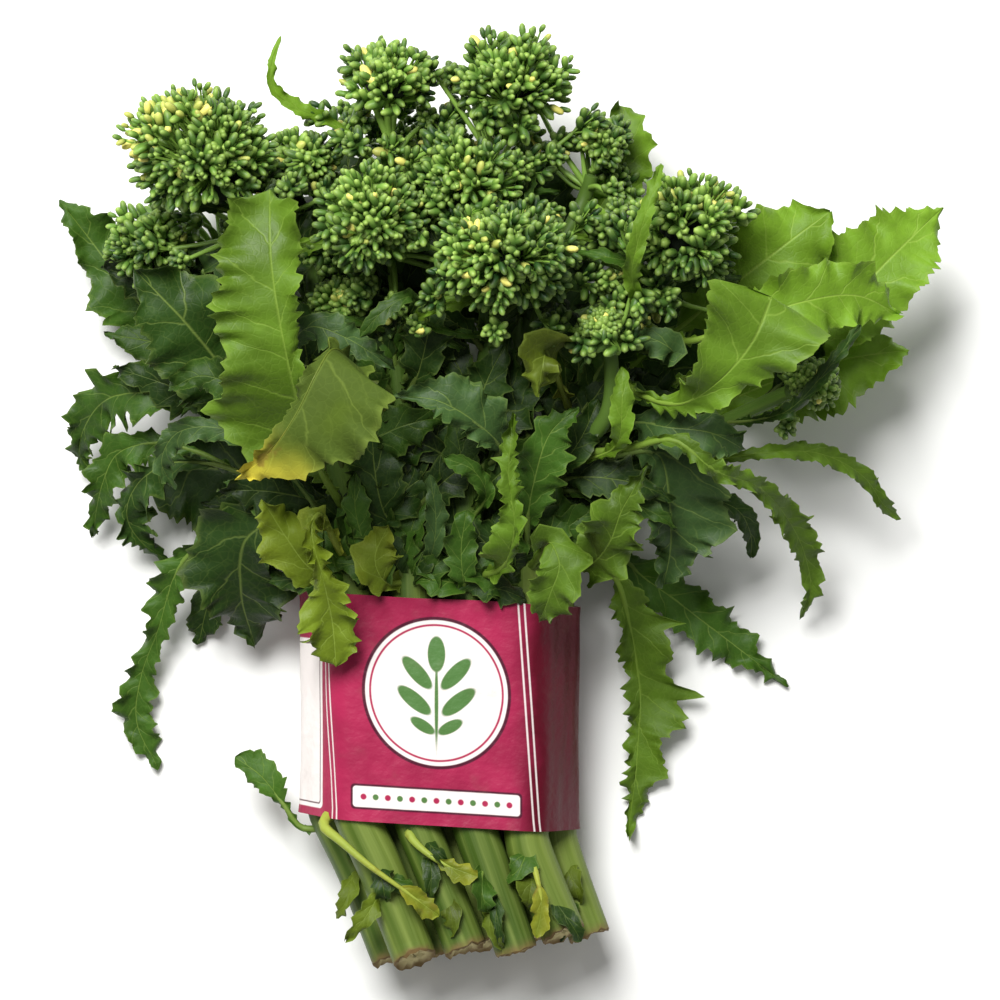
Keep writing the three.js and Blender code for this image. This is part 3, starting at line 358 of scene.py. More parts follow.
    Leaf("spur", "b5", root=8, tint="dark", stem=0.4, fused=True,
         via=[(42, 4, 38), (68, 2, 42), (86, -3, 38), (92, -12, 30), (93, -21, 22)],
         left=[2, 5, 5, 2], right=[2, 5, 4, 2]),
    Leaf("big_right", "a4", root=50, tint="bright", stem=0.35, lobes=0.1, tone=0.22, looks=[(0.1, -0.3, 0.9)],
         via=[(50, 38, 72), (64, 34, 86), (77, 42, 97), (88, 55, 102), (95, 71, 101)],
         left=[4, 10, 15, 22, 28], right=[4, 7, 11, 19, 27]),
    Leaf("right_high", "b5", root=38, tint="bright", stem=0.35, lobes=0.12, tone=0.7,
         via=[(62, 60, 44), (86, 79, 54), (104, 93, 59), (119, 104, 58)],
         left=[3, 13, 20, 21, 14, 4], right=[3, 11, 17, 20, 17, 5]),
    Leaf("right_mid", "a4", root=66, tint="bright", stem=0.3, lobes=0.14, tone=1.0,
         via=[(66, 57, 66), (84, 62, 76), (106, 70, 78), (127, 73, 71), (143, 67, 62)],
         left=[3, 9, 14, 15, 12, 4], right=[3, 10, 14, 14, 11, 4]),
    Leaf("far_right", "b5", root=26, tint="bright", stem=0.45, lobes=0.14, tone=1.0,
         via=[(60, 42, 40), (98, 52, 49), (122, 68, 50), (142, 88, 46), (162, 107, 38)],
         left=[3, 14, 20, 20, 14, 3], right=[3, 12, 18, 19, 14, 3]),
    Leaf("right_low", "c4", root=8, tint="bright", stem=0.35, lobes=0.16, tone=1.0,
         via=[(64, 26, 18), (92, 40, 26), (115, 49, 35), (135, 53, 38), (150, 55, 34)],
         left=[3, 10, 14, 15, 12, 4], right=[3, 13, 21, 22, 13, 3]),
    Leaf("right_strip", "c4", root=28, tint="dark", stem=0.3, fused=True,
         via=[(93, 29, 60), (104, 33, 77), (118, 49, 84), (128, 62, 80)],
         left=[2, 3, 3, 2], right=[2, 3, 3, 2]),
    Leaf("long_lobed", "b5", root=-30, tint="bright", stem=0.2, lobes=0.32, tone=0.1,
         via=[(30, -22, 28), (42, -28, 25), (48, -46, 18), (52, -70, 10), (51, -98, 6), (48, -126, 2)],
         left=[3, 12, 25, 12, 29, 12, 16, 8, 3], right=[3, 7, 9, 7, 9, 7, 6, 5, 2]),
    Leaf("low_right", "c4", root=-22, tint="mid", stem=0.25, lobes=0.3, tone=0.9,
         via=[(34, -16, 9), (58, -32, 7), (82, -50, 6), (108, -70, 2)],
         left=[3, 10, 14, 12, 8, 2], right=[3, 11, 14, 13, 8, 2]),
    Leaf("top_right", "b4", root=78, tint="bright", stem=0.25, tone=0.3, fused=True,
         via=[(26, 94, 35), (40, 113, 33), (47, 130, 33), (44, 145, 30)],
         left=[2, 8, 10, 5], right=[2, 10, 12, 7]),
    Leaf("top_curl", "b2", root=104, tint="bright", stem=0.3, tone=0.5, rib=0.7, fused=True,
         via=[(-56, 133, 48), (-74, 142, 54), (-82, 149, 58), (-82, 158, 60), (-79, 167, 60)],
         left=[2, 2, 3, 2, 1], right=[2, 3, 4, 2, 1]),
    Leaf("under_left", "c1", root=-4, tint="dark", stem=0.2, cup=0.03, wave=0.02,
         via=[(-70, 12, 3), (-88, 36, 1), (-102, 62, 1), (-112, 96, 1)],
         left=[3, 17, 24, 24, 20, 3], right=[3, 17, 24, 24, 20, 3]),
    Leaf("under_inner_left", "c2", root=0, tint="dark", stem=0.2, cup=0.03, wave=0.02,
         via=[(-40, 30, 2), (-46, 60, 1), (-52, 95, 1), (-58, 132, 1)],
         left=[3, 17, 25, 25, 20, 3], right=[3, 17, 25, 25, 20, 3]),
    Leaf("under_inner_right", "c3", root=5, tint="dark", stem=0.2, cup=0.03, wave=0.02,
         via=[(6, 34, 2), (12, 66, 1), (12, 100, 1), (8, 136, 1)],
         left=[3, 17, 25, 25, 20, 3], right=[3, 17, 25, 25, 20, 3]),
    Leaf("under_right", "c4", root=-8, tint="dark", stem=0.2, cup=0.03, wave=0.02,
         via=[(34, 16, 3), (58, 40, 1), (74, 68, 1), (84, 98, 1)],
         left=[3, 17, 24, 24, 20, 3], right=[3, 17, 24, 24, 20, 3]),
    Leaf("cut_left", "a1", root=-112, tint="yellow", stem=0.75, rib=2.1, age=(0.35, 0.3), fused=True,
         via=[(-61, -114, 43), (-64, -118, 49), (-58, -123, 54), (-47, -132, 57), (-33, -142, 57),
              (-22, -150, 56)],
         left=[2, 5, 4, 2], right=[2, 3, 6, 2]),
    Leaf("cut_middle", "a2", root=-117, tint="yellow", stem=0.6, rib=1.9, age=(0.3, 0.3), fused=True,
         via=[(-33, -121, 49), (-23, -130, 55), (-8, -136, 57)],
         left=[2, 3, 4, 2], right=[2, 4, 6, 2]),
    Leaf("cut_right", "a4", root=-127, tint="yellow", stem=0.5, rib=1.8, age=(0.35, 0.4), fused=True,
         via=[(13, -135, 54), (15, -146, 56), (13, -158, 55)],
         left=[2, 3, 5, 2], right=[2, 4, 3, 2]),
]

STALK_OF = {stalk.name: stalk for stalk in STALKS}


@dataclass
class Fill:
    """A group of plain leaves placed by rule: how many, on which stalks, and the ranges of the height where
    each leaves its stalk, its turn from +Y towards +X in radians, its length, its half width and how far
    it rises over its start."""
    count: int
    stalks: list
    roots: tuple
    turns: tuple
    lengths: tuple
    halves: tuple
    rises: tuple
    tints: list


# Most fills take the dark tint, which is partly painted shade deep in the bunch.
FILLS = {
    "by_the_band": Fill(26, ["a2", "a3", "a1", "a4", "b5"], roots=(-37, -20), turns=(-0.8, 0.8),
                        lengths=(26, 44), halves=(8, 13), rises=(7, 12), tints=["dark", "mid"]),
    "rim": Fill(20, ["a3", "a4", "a2", "a1"], roots=(-33, -27), turns=(-1.6, 1.6), lengths=(18, 30),
                halves=(6, 8.5), rises=(10, 13), tints=["mid", "dark"]),
    "behind_left": Fill(10, ["a1", "b1"], roots=(58, 100), turns=(-1.4, 0.3), lengths=(30, 48),
                        halves=(9, 13), rises=(2, 10), tints=["dark"]),
    "over_stalks": Fill(24, ["a1", "a2", "a3", "a4"], roots=(-22, 48), turns=(-0.8, 0.8), lengths=(34, 56),
                        halves=(8, 13), rises=(9, 16), tints=["dark", "mid", "dark"]),
    "under_heads": Fill(22, ["b2", "b3", "b4", "a2", "a3"], roots=(30, 84), turns=(-0.9, 0.9),
                        lengths=(28, 50), halves=(7, 12), rises=(8, 22), tints=["dark", "mid"]),
    "left": Fill(14, ["b1", "c1", "a1"], roots=(-28, 66), turns=(-1.5, -0.3), lengths=(34, 62),
                 halves=(8, 14), rises=(4, 16), tints=["dark", "dark", "mid"]),
    "right": Fill(14, ["b5", "c4", "a4"], roots=(-20, 34), turns=(0.3, 1.4), lengths=(34, 62),
                  halves=(8, 14), rises=(4, 16), tints=["dark", "dark", "mid"]),
    "rags": Fill(18, ["a1", "a2", "a3", "a4", "b1", "b5"], roots=(-152, -122), turns=(1.9, 3.6),
                 lengths=(14, 26), halves=(3.5, 7), rises=(9, 14), tints=["yellow", "dark", "mid"]),
    "bracts": Fill(30, ["a1", "a2", "a3", "a4", "b2", "b3", "b4"], roots=(56, 112), turns=(-2.2, 2.2),
                   lengths=(20, 38), halves=(1.8, 3.8), rises=(14, 36), tints=["mid", "bright", "dark"]),
}

# The band's print, in millimetres round the band from the middle of its upper side, and up from its foot
PINSTRIPES = (-42.5, -40.3, 31.4, 33.6)
OVAL_AT = (-1, 48)
BAR_AT = (-1, 9)
BAR_DOTS = 6  # on each side of the one in the bar's middle
DOT_PITCH = 4.4
PANEL_AT = (-68, 34)
SPRIG = [  # ovals of the sprig: place from the oval's middle, half sizes and turn
    (0, -4, 0.7, 15, 0.0), (0, 14, 3.2, 6.5, 0.0), (-7, 7, 2.8, 7.5, 0.75), (7, 7, 2.8, 7.5, -0.75),
    (-8, -3, 2.8, 7.5, 0.9), (8, -3, 2.8, 7.5, -0.9), (-5, -12, 2.1, 5, 1.05), (5, -12, 2.1, 5, -1.05),
]

# The stage, in metres
LAMP_AT = (-0.35, 0.75, 1.3)
LAMP_SIZE = 0.7
FLOOR_HALF = 3.0

SENSOR = 36  # the camera's, in millimetres


def srgb(red, green, blue):
    """A colour as a picture shows it, 0 to 255, in Blender's linear numbers."""
    shares = np.array([red, green, blue]) / 255
    return tuple(np.where(shares <= 0.04045, shares / 12.92, ((shares + 0.055) / 1.055) ** 2.4).tolist())


def unit(vectors):
    """Vectors along the last axis, each scaled to length 1."""
    vectors = np.asarray(vectors, float)
    return vectors / np.linalg.norm(vectors, axis=-1, keepdims=True)


class Midline:
    """A smooth centripetal Catmull-Rom line through points, walked by its own length as three.js does."""

    DIVISIONS = 200

    def __init__(self, points):
        points = np.array(points, float)
        before = 2 * points[0] - points[1]
        after = 2 * points[-1] - points[-2]
        self.knots = np.vstack([before, points, after])
        self.times = np.linspace(0, 1, self.DIVISIONS + 1)
        steps = np.linalg.norm(np.diff(self._point(self.times), axis=0), axis=1)
        self.lengths = np.concatenate([[0], np.cumsum(steps)])
        self.length = self.lengths[-1]

    def _point(self, times):
        place = np.clip(times, 0, 1) * (len(self.knots) - 3)
        span = np.minimum(place.astype(int), len(self.knots) - 4)
        w = (place - span)[:, None]
        p0, p1, p2, p3 = (self.knots[span + k] for k in range(4))
        spans = ((p0, p1), (p1, p2), (p2, p3))
        d0, d1, d2 = (np.sum((b - a) ** 2, axis=1)[:, None] ** 0.25 for a, b in spans)
        m1 = ((p1 - p0) / d0 - (p2 - p0) / (d0 + d1) + (p2 - p1) / d1) * d1
        m2 = ((p2 - p1) / d1 - (p3 - p1) / (d1 + d2) + (p3 - p2) / d2) * d1
        return p1 + m1 * w + (3 * (p2 - p1) - 2 * m1 - m2) * w**2 + (2 * (p1 - p2) + m1 + m2) * w**3

    def _times(self, shares):
        return np.interp(np.asarray(shares, float) * self.length, self.lengths, self.times)

    def at(self, shares):
        """The points at shares of the length."""
        return self._point(self._times(shares))

    def ways(self, shares):
        """The direction of travel at shares of the length."""
        times = self._times(shares)
        return unit(self._point(np.minimum(times + 1e-3, 1)) - self._point(np.maximum(times - 1e-3, 0)))


def along(values, shares):
    """Values spaced evenly from 0 to 1, read at shares."""
    return np.interp(shares, np.linspace(0, 1, len(values)), values)


def softened(values, reach):
    """Numbers along a line, each averaged with its neighbours up to reach away."""
    padded = np.pad(values, reach, mode="edge")
    return np.convolve(padded, np.ones(2 * reach + 1) / (2 * reach + 1), mode="valid")


def neck(head):
    """The way a head faces, the foot of its neck, and the point below that makes a stalk arrive along it."""
    faces = unit(head.faces)
    foot = np.array(head.at) - NECK_FOOT * head.radius * faces
    return faces, foot, foot - NECK_RUN * head.radius * faces


def stalk_line(stalk):
    """A stalk's way from its cut end, slanting to the band, straight through it and on to its head."""
    x = BUNDLE_X + stalk.column * STALK_PITCH
    z = LOWEST_ROW + stalk.row * ROW_RISE
    _, foot, approach = neck(HEADS[stalk.head])
    shift = CUT_SHIFT - CUT_PINCH * stalk.column
    stray = np.sin(3.1 * stalk.column + 2 * stalk.row + 1)
    cut = CUT_Y + CUT_FAN * stalk.column - CUT_STRAY * stray
    bend = BAND_BOTTOM + (OUTER_BEND if stalk.column > 1 else INNER_BEND)
    slanting = [(x + shift * (bend - y) / (bend - CUT_Y), y, z) for y in (BAND_BOTTOM - FOOT_POINT, bend - 1)]
    straight = [(x, y, z) for y in (bend + BEND_POINTS[0], bend + BEND_POINTS[1], BAND_TOP - TOP_POINT)]
    return Midline([(x + shift, cut, z), *slanting, *straight, *stalk.via, approach, foot])


def point_at_height(line, y):
    """The point of a stalk at a height along +Y, searched from its cut end upwards, or else its top."""
    points = line.at(np.arange(0, 1, 0.002))
    above = points[:, 1] >= y
    return points[np.argmax(above) if above.any() else -1]


def side_line(stalk):
    """The way of a stalk's side branch, from the stalk to its own head."""
    _, foot, approach = neck(HEADS[stalk.side.head])
    return Midline([point_at_height(stalk_line(stalk), stalk.side.root), *stalk.side.via, approach, foot])


class Shape:
    """Points and faces gathered for one piece, with numbers marked on each point for its material."""

    def __init__(self):
        self.points, self.faces, self.marks, self.count = [], [], [], 0

    def add(self, points, faces, **marks):
        points = np.asarray(points, float).reshape(-1, 3)
        self.points.append(points)
        self.faces.append([np.asarray(part) + self.count for part in faces])
        self.marks.append({
            name: np.broadcast_to(np.asarray(value, float), np.shape(value) or len(points)).ravel()
            for name, value in marks.items()
        })
        self.count += len(points)

    def piece(self, name, material, slot, nodes, sharp=1.0):
        """The finished object, kept inside the CAD model's box, riding on it and standing for nodes."""
        points = np.concatenate(self.points) * MM + ORIGIN
        points = np.clip(points, np.array(CAD_LOW), np.array(CAD_HIGH))
        mesh = bpy.data.meshes.new(name)
        faces = [face for group in self.faces for part in group for face in part.tolist()]
        mesh.from_pydata(points.tolist(), [], faces)
        for mark in sorted({mark for marks in self.marks for mark in marks}):
            values = [marks.get(mark, np.zeros(len(part))) for marks, part in zip(self.marks, self.points)]
            layer = mesh.attributes.new(mark, "FLOAT", "POINT")
            layer.data.foreach_set("value", np.concatenate(values).astype(np.float32))
        mesh.materials.append(material)
        mesh.shade_smooth()
        mesh.set_sharp_from_angle(angle=sharp)
        made = bpy.data.objects.new(name, mesh)
        bpy.context.scene.collection.objects.link(made)
        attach(made, "root")
        if nodes:
            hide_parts(*nodes)
        return made


def numbered(rows, columns):
    """The numbers of the points of a grid, row after row."""
    return np.arange(rows * columns).reshape(rows, columns)


def quads(grid, closed=False):
    """Faces over a grid of point numbers, closed into a tube where its columns meet."""
    across = np.roll(grid, -1, axis=1) if closed else grid[:, 1:]
    first = grid if closed else grid[:, :-1]
    return np.stack([first[:-1], across[:-1], across[1:], first[1:]], axis=-1).reshape(-1, 4)


def capped(grid):
    """The faces of a tube over a grid of point numbers, with a flat face at both ends."""
    return [quads(grid, closed=True), grid[:1, ::-1], grid[-1:]]


def sheet(top, bottom):
    """A thin closed sheet between two grids of points: its points and its faces."""
    rows, columns = top.shape[:2]
    grid = numbered(rows, columns)
    rim = np.concatenate([grid[0], grid[1:, -1], grid[-1, -2::-1], grid[-2:0:-1, 0]])
    after = np.roll(rim, -1)
    under = rows * columns
    edge = np.stack([rim, rim + under, after + under, after], axis=-1)
    points = np.concatenate([top.reshape(-1, 3), bottom.reshape(-1, 3)])
    return points, [quads(grid), quads(grid[:, ::-1] + under), edge]


def both_sides(top, bottom=None):
    """A mark's numbers over the top of a sheet and then over its bottom, which is alike if not given."""
    return np.stack([top, top if bottom is None else bottom]).ravel()


def round_angles(sides):
    return np.arange(sides) * 2 * np.pi / sides


def spokes(side, other, sides):
    """Directions spaced evenly round a circle, from side towards other, for one circle or for many."""
    angles = round_angles(sides)[:, None]
    return np.cos(angles) * side[..., None, :] + np.sin(angles) * other[..., None, :]


def square_to(ways, lean):
    """Two directions square to each way and to each other. No way may run along lean."""
    side = unit(np.cross(ways, lean))
    return side, np.cross(ways, side)


def rings(line, radii, sides, shares, ridge=0.0, ridges=0):
    """Rings of points round a midline, at shares of its length. Ridges stand out of them by a share."""
    ways, middles = line.ways(shares), line.at(shares)
    swell = 1 + ridge * np.cos(ridges * round_angles(sides))
    side = np.array([1, 0.13, 0.07])
    made = []
    for way, middle, radius in zip(ways, middles, along(radii, np.linspace(0, 1, len(shares)))):
        side = unit(side - side.dot(way) * way)
        made.append(middle + radius * swell[:, None] * spokes(side, np.cross(way, side), sides))
    return np.array(made)


def tube(line, radii, sides, steps):
    """A round tube with flat ends: its points and its faces."""
    points = rings(line, radii, sides, np.linspace(0, 1, steps + 1))
    return points, capped(numbered(steps + 1, sides))


class Value:
    """A shader socket that can stand in Python arithmetic, which adds the Math nodes."""

    def __init__(self, shader, socket):
        self.shader, self.socket = shader, socket

    def math(self, operation, *others):
        inputs = dict(enumerate((self, *others)))
        return self.shader.node("Math", {"operation": operation}, inputs)

    def __add__(self, other):
        return self.math("ADD", other)

    def __sub__(self, other):
        return self.math("SUBTRACT", other)

    def __rsub__(self, other):
        return self.shader.node("Math", {"operation": "SUBTRACT"}, {0: other, 1: self})

    def __mul__(self, other):
        return self.math("MULTIPLY", other)

    def __truediv__(self, other):
        return self.math("DIVIDE", other)

    def __mod__(self, other):
        return self.math("FLOORED_MODULO", other)

    def __pow__(self, other):
        return self.math("POWER", other)

    __radd__ = __add__
    __rmul__ = __mul__

    def size(self):
        return self.math("ABSOLUTE")

    def most(self, other):
        return self.math("MAXIMUM", other)

    def least(self, other):
        return self.math("MINIMUM", other)

    def share(self, low=0.0, high=1.0):
        """Where this lies between low and high, held to 0 to 1."""
        settings = {"interpolation_type": "SMOOTHSTEP"}
        return self.shader.node("MapRange", settings, {"Value": self, "From Min": low, "From Max": high})


class Shader:
    """A material, written as expressions on its values."""

    def __init__(self, name):
        self.material = bpy.data.materials.new(name)
        self.material.use_nodes = True
        self.tree = self.material.node_tree
        self.tree.nodes.clear()

    def node(self, kind, settings=None, inputs=None, output=0):
        """A node of a kind, with its settings set first and then its sockets, as the value it puts out."""
        made = self.tree.nodes.new("ShaderNode" + kind)
        for setting, value in (settings or {}).items():
            setattr(made, setting, value)
        for socket, value in (inputs or {}).items():
            if isinstance(value, Value):
                self.tree.links.new(value.socket, made.inputs[socket])
            else:
                made.inputs[socket].default_value = value
        return None if output is None else Value(self, made.outputs[output])

    def mark(self, name):
        """A number that was marked on the piece's points."""
        return self.node("Attribute", {"attribute_name": name}, output="Fac")

    def place(self):
        """Where a point lies on the piece, in metres."""
        return self.node("TexCoord", output="Object")

    def noise(self, place, scale, detail=2.0):
        """Soft random blotches, about 0.5, so many to a unit of place."""
        return self.node("TexNoise", {}, {"Vector": place, "Scale": scale, "Detail": detail})

    def cells(self, place, scale):
        """The distance to the nearest edge between small cells."""
        settings = {"feature": "DISTANCE_TO_EDGE"}
        return self.node("TexVoronoi", settings, {"Vector": place, "Scale": scale}, output="Distance")

    def mix(self, share, first, second):
        """A colour between two colours."""
        ends = [c if isinstance(c, Value) else (*c, 1) for c in (first, second)]
        settings = {"data_type": "RGBA"}
        return self.node("Mix", settings, {0: share, 6: ends[0], 7: ends[1]}, output=2)

    def finish(self, colour, roughness, height=None, depth=0.0005, strength=0.4, **steady):
        """The surface itself. height is raised over it by a Bump node, and steady holds fixed inputs."""
        inputs = {"Base Color": colour, "Roughness": roughness}
        inputs.update({name.replace("_", " "): value for name, value in steady.items()})
        if height is not None:
            bump = {"Height": height, "Distance": depth, "Strength": strength}
            inputs["Normal"] = self.node("Bump", {}, bump)
        surface = self.node("BsdfPrincipled", {}, inputs)
        self.node("OutputMaterial", {}, {"Surface": surface}, output=None)
        return self.material


# Leaves

RIB_SIDES = 7  # points round a leaf's rib
RIB_RADII = (1.8, 1.25, 0.85, 0.55, 0.3)  # from the stalk to the leaf's tip
RIB_REACH = 0.96  # the rib ends at this share of the leaf's length
RIB_SINK = 0.62  # how deep it lies in the blade, as a share of its radius
RIB_STEP = 3  # length of one step along it
LEAF_STEP = 0.95  # and along the blade of a large leaf
FILL_STEP = 1.45  # and of a small one
COLUMN = 2.8  # width of one step across a blade
VEIN_SLANT = 0.8  # a side vein leaves the midrib this many lobes before the lobe that it runs to
WING_FROM = 0.35  # a narrow wing begins at this share of the leaf's stem
BARB_PITCH = 3.1  # between the smallest points of a leaf's edge
LOBE_PITCHES = (8, 16)  # the least and the most between two side veins
PITCH_SPREAD = (0.5, 1.5)  # the least and the most of a pitch between two notches
TOOTH_CURVE = 1.2  # over 1 hollows the sides of a tooth
FULL_WIDTH = 14  # a leaf with narrower halves has smaller teeth and waves
FOOT_SHARE = 0.05  # a blade widens from nothing over this share of its length
TIP_SHARE = 0.07  # and rounds off over this one
NARROWEST = 0.8  # half width of a blade where its notches are deepest
EDGE_LIP = 0.3  # and it is this much wider all along
USUAL_CUP = 0.12  # a leaf that is less cupped than this is calmer too
PUCKER = 0.5  # how far a blade swells between two side veins
TIP_SWEEP = 0.34  # how far a blade's edge leans towards its tip, as a share of its half width
BUCKLES = ((27, 1.5, 2.5), (12, 0.7, -3))  # long waves of a blade: pitch, height and lean across it
FILL_ARCH = ((0.3, 0.75), (0.6, 1.0), (0.85, 0.95), (1.0, 0.7))  # a small leaf's rise along its length


def look_at(leaf, shares, ways):
    """The way a leaf's upper face looks at shares of its length, square to its midrib."""
    looks = np.array(leaf.looks, float)
    seen = np.stack([along(looks[:, axis], shares) for axis in range(3)], axis=-1)
    return unit(seen - np.sum(seen * ways, axis=1)[:, None] * ways)


def notches(length, pitch, rng):
    """Where the notches between an edge's teeth lie, about one pitch apart, as shares of its length."""
    places = np.cumsum(rng.uniform(*PITCH_SPREAD, max(2, round(length / pitch))))
    return np.concatenate([[0], places / places[-1]])


def at_teeth(rows, edges):
    """Even shares of a length, with the nearest moved to each tooth's tip and each notch of the edges."""
    shares = np.linspace(0, 1, rows)
    for cuts in edges:
        for places in (cuts[:-1] + TOOTH_LEAN * np.diff(cuts), cuts):
            shares[np.round(places * (rows - 1)).astype(int)] = places
    return shares


def teeth(shares, cuts, least, rng):
    """Places along an edge, counted in its teeth, and the height of each place's tooth."""
    place = np.interp(shares, cuts, np.arange(len(cuts)))
    heights = rng.uniform(least, 1, len(cuts))
    return place, heights[place.astype(int)]


def pointed(place, heights):
    """How far a toothed edge stands out: 0 in its notches, and the tooth's height at its tip."""
    x = place % 1
    return heights * np.minimum(x / TOOTH_LEAN, (1 - x) / (1 - TOOTH_LEAN)) ** TOOTH_CURVE


def blade_edge(widths, leaf, s, grown, small, cuts, rng, settings):
    """The half width of a blade at its rows, cut by lobes, teeth and barbs, and each row's place along
    its lobes and its teeth."""
    barb_cuts, tooth_cuts, lobe_cuts = cuts
    lobe, lobe_height = teeth(s, lobe_cuts, 0.2, rng)
    tooth, tooth_height = teeth(s, tooth_cuts, 0, rng)
    barb, barb_height = teeth(s, barb_cuts, 0.2, rng)
    edge = softened(along(widths, grown), max(2, len(s) // 16))
    edge = edge * (1.2 - 1.6 * leaf.lobes * (1 - pointed(lobe, lobe_height)))
    edge = edge - small * settings.tooth_depth / MM * (1 - pointed(tooth, tooth_height))
    edge = edge + settings.barb / MM * small * pointed(barb, barb_height)
    foot = np.clip(s / FOOT_SHARE, 0, 1) ** 0.6
    tip = np.sqrt(np.clip((1 - s) / TIP_SHARE, 0, 1))
    return np.maximum(edge, NARROWEST) * foot * tip + EDGE_LIP, lobe, tooth


def blade_half(leaf, sign, widths, line, rows, seed, settings):
    """One half of a blade, left at sign -1 and right at 1: its top and bottom grids and their marks."""
    rng = np.random.default_rng(SEEDS["blade"] + 2 * seed + (sign > 0))
    start = leaf.stem * (WING_FROM if leaf.rib <= 1 else 1)
    length = line.length * (1 - start)
    pitches = (BARB_PITCH, settings.tooth_pitch / MM, np.clip(0.8 * leaf.widest, *LOBE_PITCHES))
    cuts = [notches(length, pitch, rng) for pitch in pitches]
    s = at_teeth(rows, cuts)
    t = start + (1 - start) * s
    ways, middles = line.ways(t), line.at(t)
    normals = look_at(leaf, t, ways)
    rights = np.cross(ways, normals)
    small = np.clip(leaf.widest / FULL_WIDTH, 0.35, 1)
    grown = np.clip((t - leaf.stem) / (1 - leaf.stem), 0, 1)
    edge, lobe, tooth = blade_edge(widths, leaf, s, grown, small, cuts, rng, settings)

    columns = int(np.clip(leaf.widest / COLUMN, 3, 7))
    u = np.linspace(0, 1, columns + 1) ** 0.9
    stations = np.clip(round(line.length / (LEAF_STATION * (1 if leaf.widest > 8 else 1.3))), 5, 14)
    flat = np.clip(4 * s, 0, 1)
    big_wave = leaf.cup + leaf.wave * np.sin(2.1 * t * stations + seed + sign)
    lift = (flat * edge * big_wave)[:, None] * u**1.4
    calm = leaf.cup / USUAL_CUP
    frill = small * settings.ruffle / MM * calm * flat * along(rng.uniform(0, 1.5, 7), s)
    lift += (frill * np.sin(np.pi * lobe + 2 * rng.random()))[:, None] * u**2
    lift += (0.45 * frill * np.sin(2 * np.pi * lobe + np.pi * tooth / 2))[:, None] * u**3
    for pitch, height, lean in BUCKLES:
        turn = 2 * np.pi * (s * length / pitch + rng.random())
        lift += (height * small * calm * flat)[:, None] * np.sin(turn[:, None] + lean * u) * u
    pucker = np.sin(np.pi * (lobe % 1)) ** 2
    lift += (PUCKER * small * flat * (pucker - 0.5))[:, None] * np.sin(np.pi * u)
    sweep = TIP_SWEEP * edge * flat * (1 - s) ** 0.7

    def spread(rise):
        """The half blade's points, raised over its middle surface."""
        points = middles[:, None] + (sign * edge[:, None] * u)[..., None] * rights[:, None]
        points += (sweep[:, None] * u)[..., None] * ways[:, None]
        return points + (lift + rise)[..., None] * normals[:, None]

    half = settings.blade / MM / 2
    top, bottom = spread(half), spread(-half)
    top[..., 2] = np.maximum(top[..., 2], 2 * half)
    bottom[..., 2] = np.maximum(bottom[..., 2], 0)
    turn = slice(None) if sign > 0 else slice(None, None, -1)
    across = np.broadcast_to(u, lift.shape)[:, turn]
    vein = np.broadcast_to(lobe[:, None] + 7.3 * (sign > 0), lift.shape)
    aged = along(leaf.age, s)[:, None] * (0.8 + 0.4 * across)
    marks = {name: both_sides(values) for name, values in (("across", across), ("vein", vein), ("age", aged))}
    marks["under"] = both_sides(np.zeros(lift.shape), np.ones(lift.shape))
    return top[:, turn], bottom[:, turn], marks


def add_leaf(shape, leaf, line, seed, settings, step):
    """A leaf: a tapering rib from the stalk to the tip, and a thin toothed blade on both sides of it."""
    rng = np.random.default_rng(seed)
    tone = np.clip(leaf.tone + rng.uniform(-0.15, 0.15), -0.5, 1)
    steps = int(np.clip(line.length / RIB_STEP, 10, 48))
    shares = np.linspace(0, RIB_REACH, steps + 1)
    radii = np.array(RIB_RADII) * np.clip(leaf.widest / 8, 0.45, 1) * leaf.rib
    points = rings(line, radii, RIB_SIDES, shares)
    normals = look_at(leaf, shares, line.ways(shares))
    sunk = np.clip((shares - leaf.stem) / 0.15, 0, 1) * RIB_SINK * along(radii, np.linspace(0, 1, steps + 1))
    points -= sunk[:, None, None] * normals[:, None]
    points[..., 2] = np.maximum(points[..., 2], 0)
    paleness = np.where(shares < leaf.stem, 0.3, 0.85) if leaf.rib <= 1 else np.full(len(shares), 1.7)
    shape.add(points, capped(numbered(steps + 1, RIB_SIDES)), tone=tone,
              rib=np.repeat(paleness, RIB_SIDES), age=np.repeat(along(leaf.age, shares), RIB_SIDES))
    rows = int(np.clip(line.length * (1 - 0.5 * leaf.stem) / step, 18, 125))
    for sign, widths in ((-1, leaf.left), (1, leaf.right)):
        top, bottom, marks = blade_half(leaf, sign, widths, line, rows, seed, settings)
        points, faces = sheet(top, bottom)
        shape.add(points, faces, tone=tone, **marks)


def grow_leaf(leaf, seed, materials, settings):
    """One of the large leaves, as its own piece."""
    start = point_at_height(stalk_line(STALK_OF[leaf.stalk]), leaf.root)
    shape = Shape()
    add_leaf(shape, leaf, Midline([start, *leaf.via]), seed, settings, LEAF_STEP)
    node = "stalk_" + leaf.stalk if leaf.fused else "leaf_" + leaf.name
    return shape.piece("raab_leaf_" + leaf.name, materials[leaf.tint], "leaf_" + leaf.tint, [node])


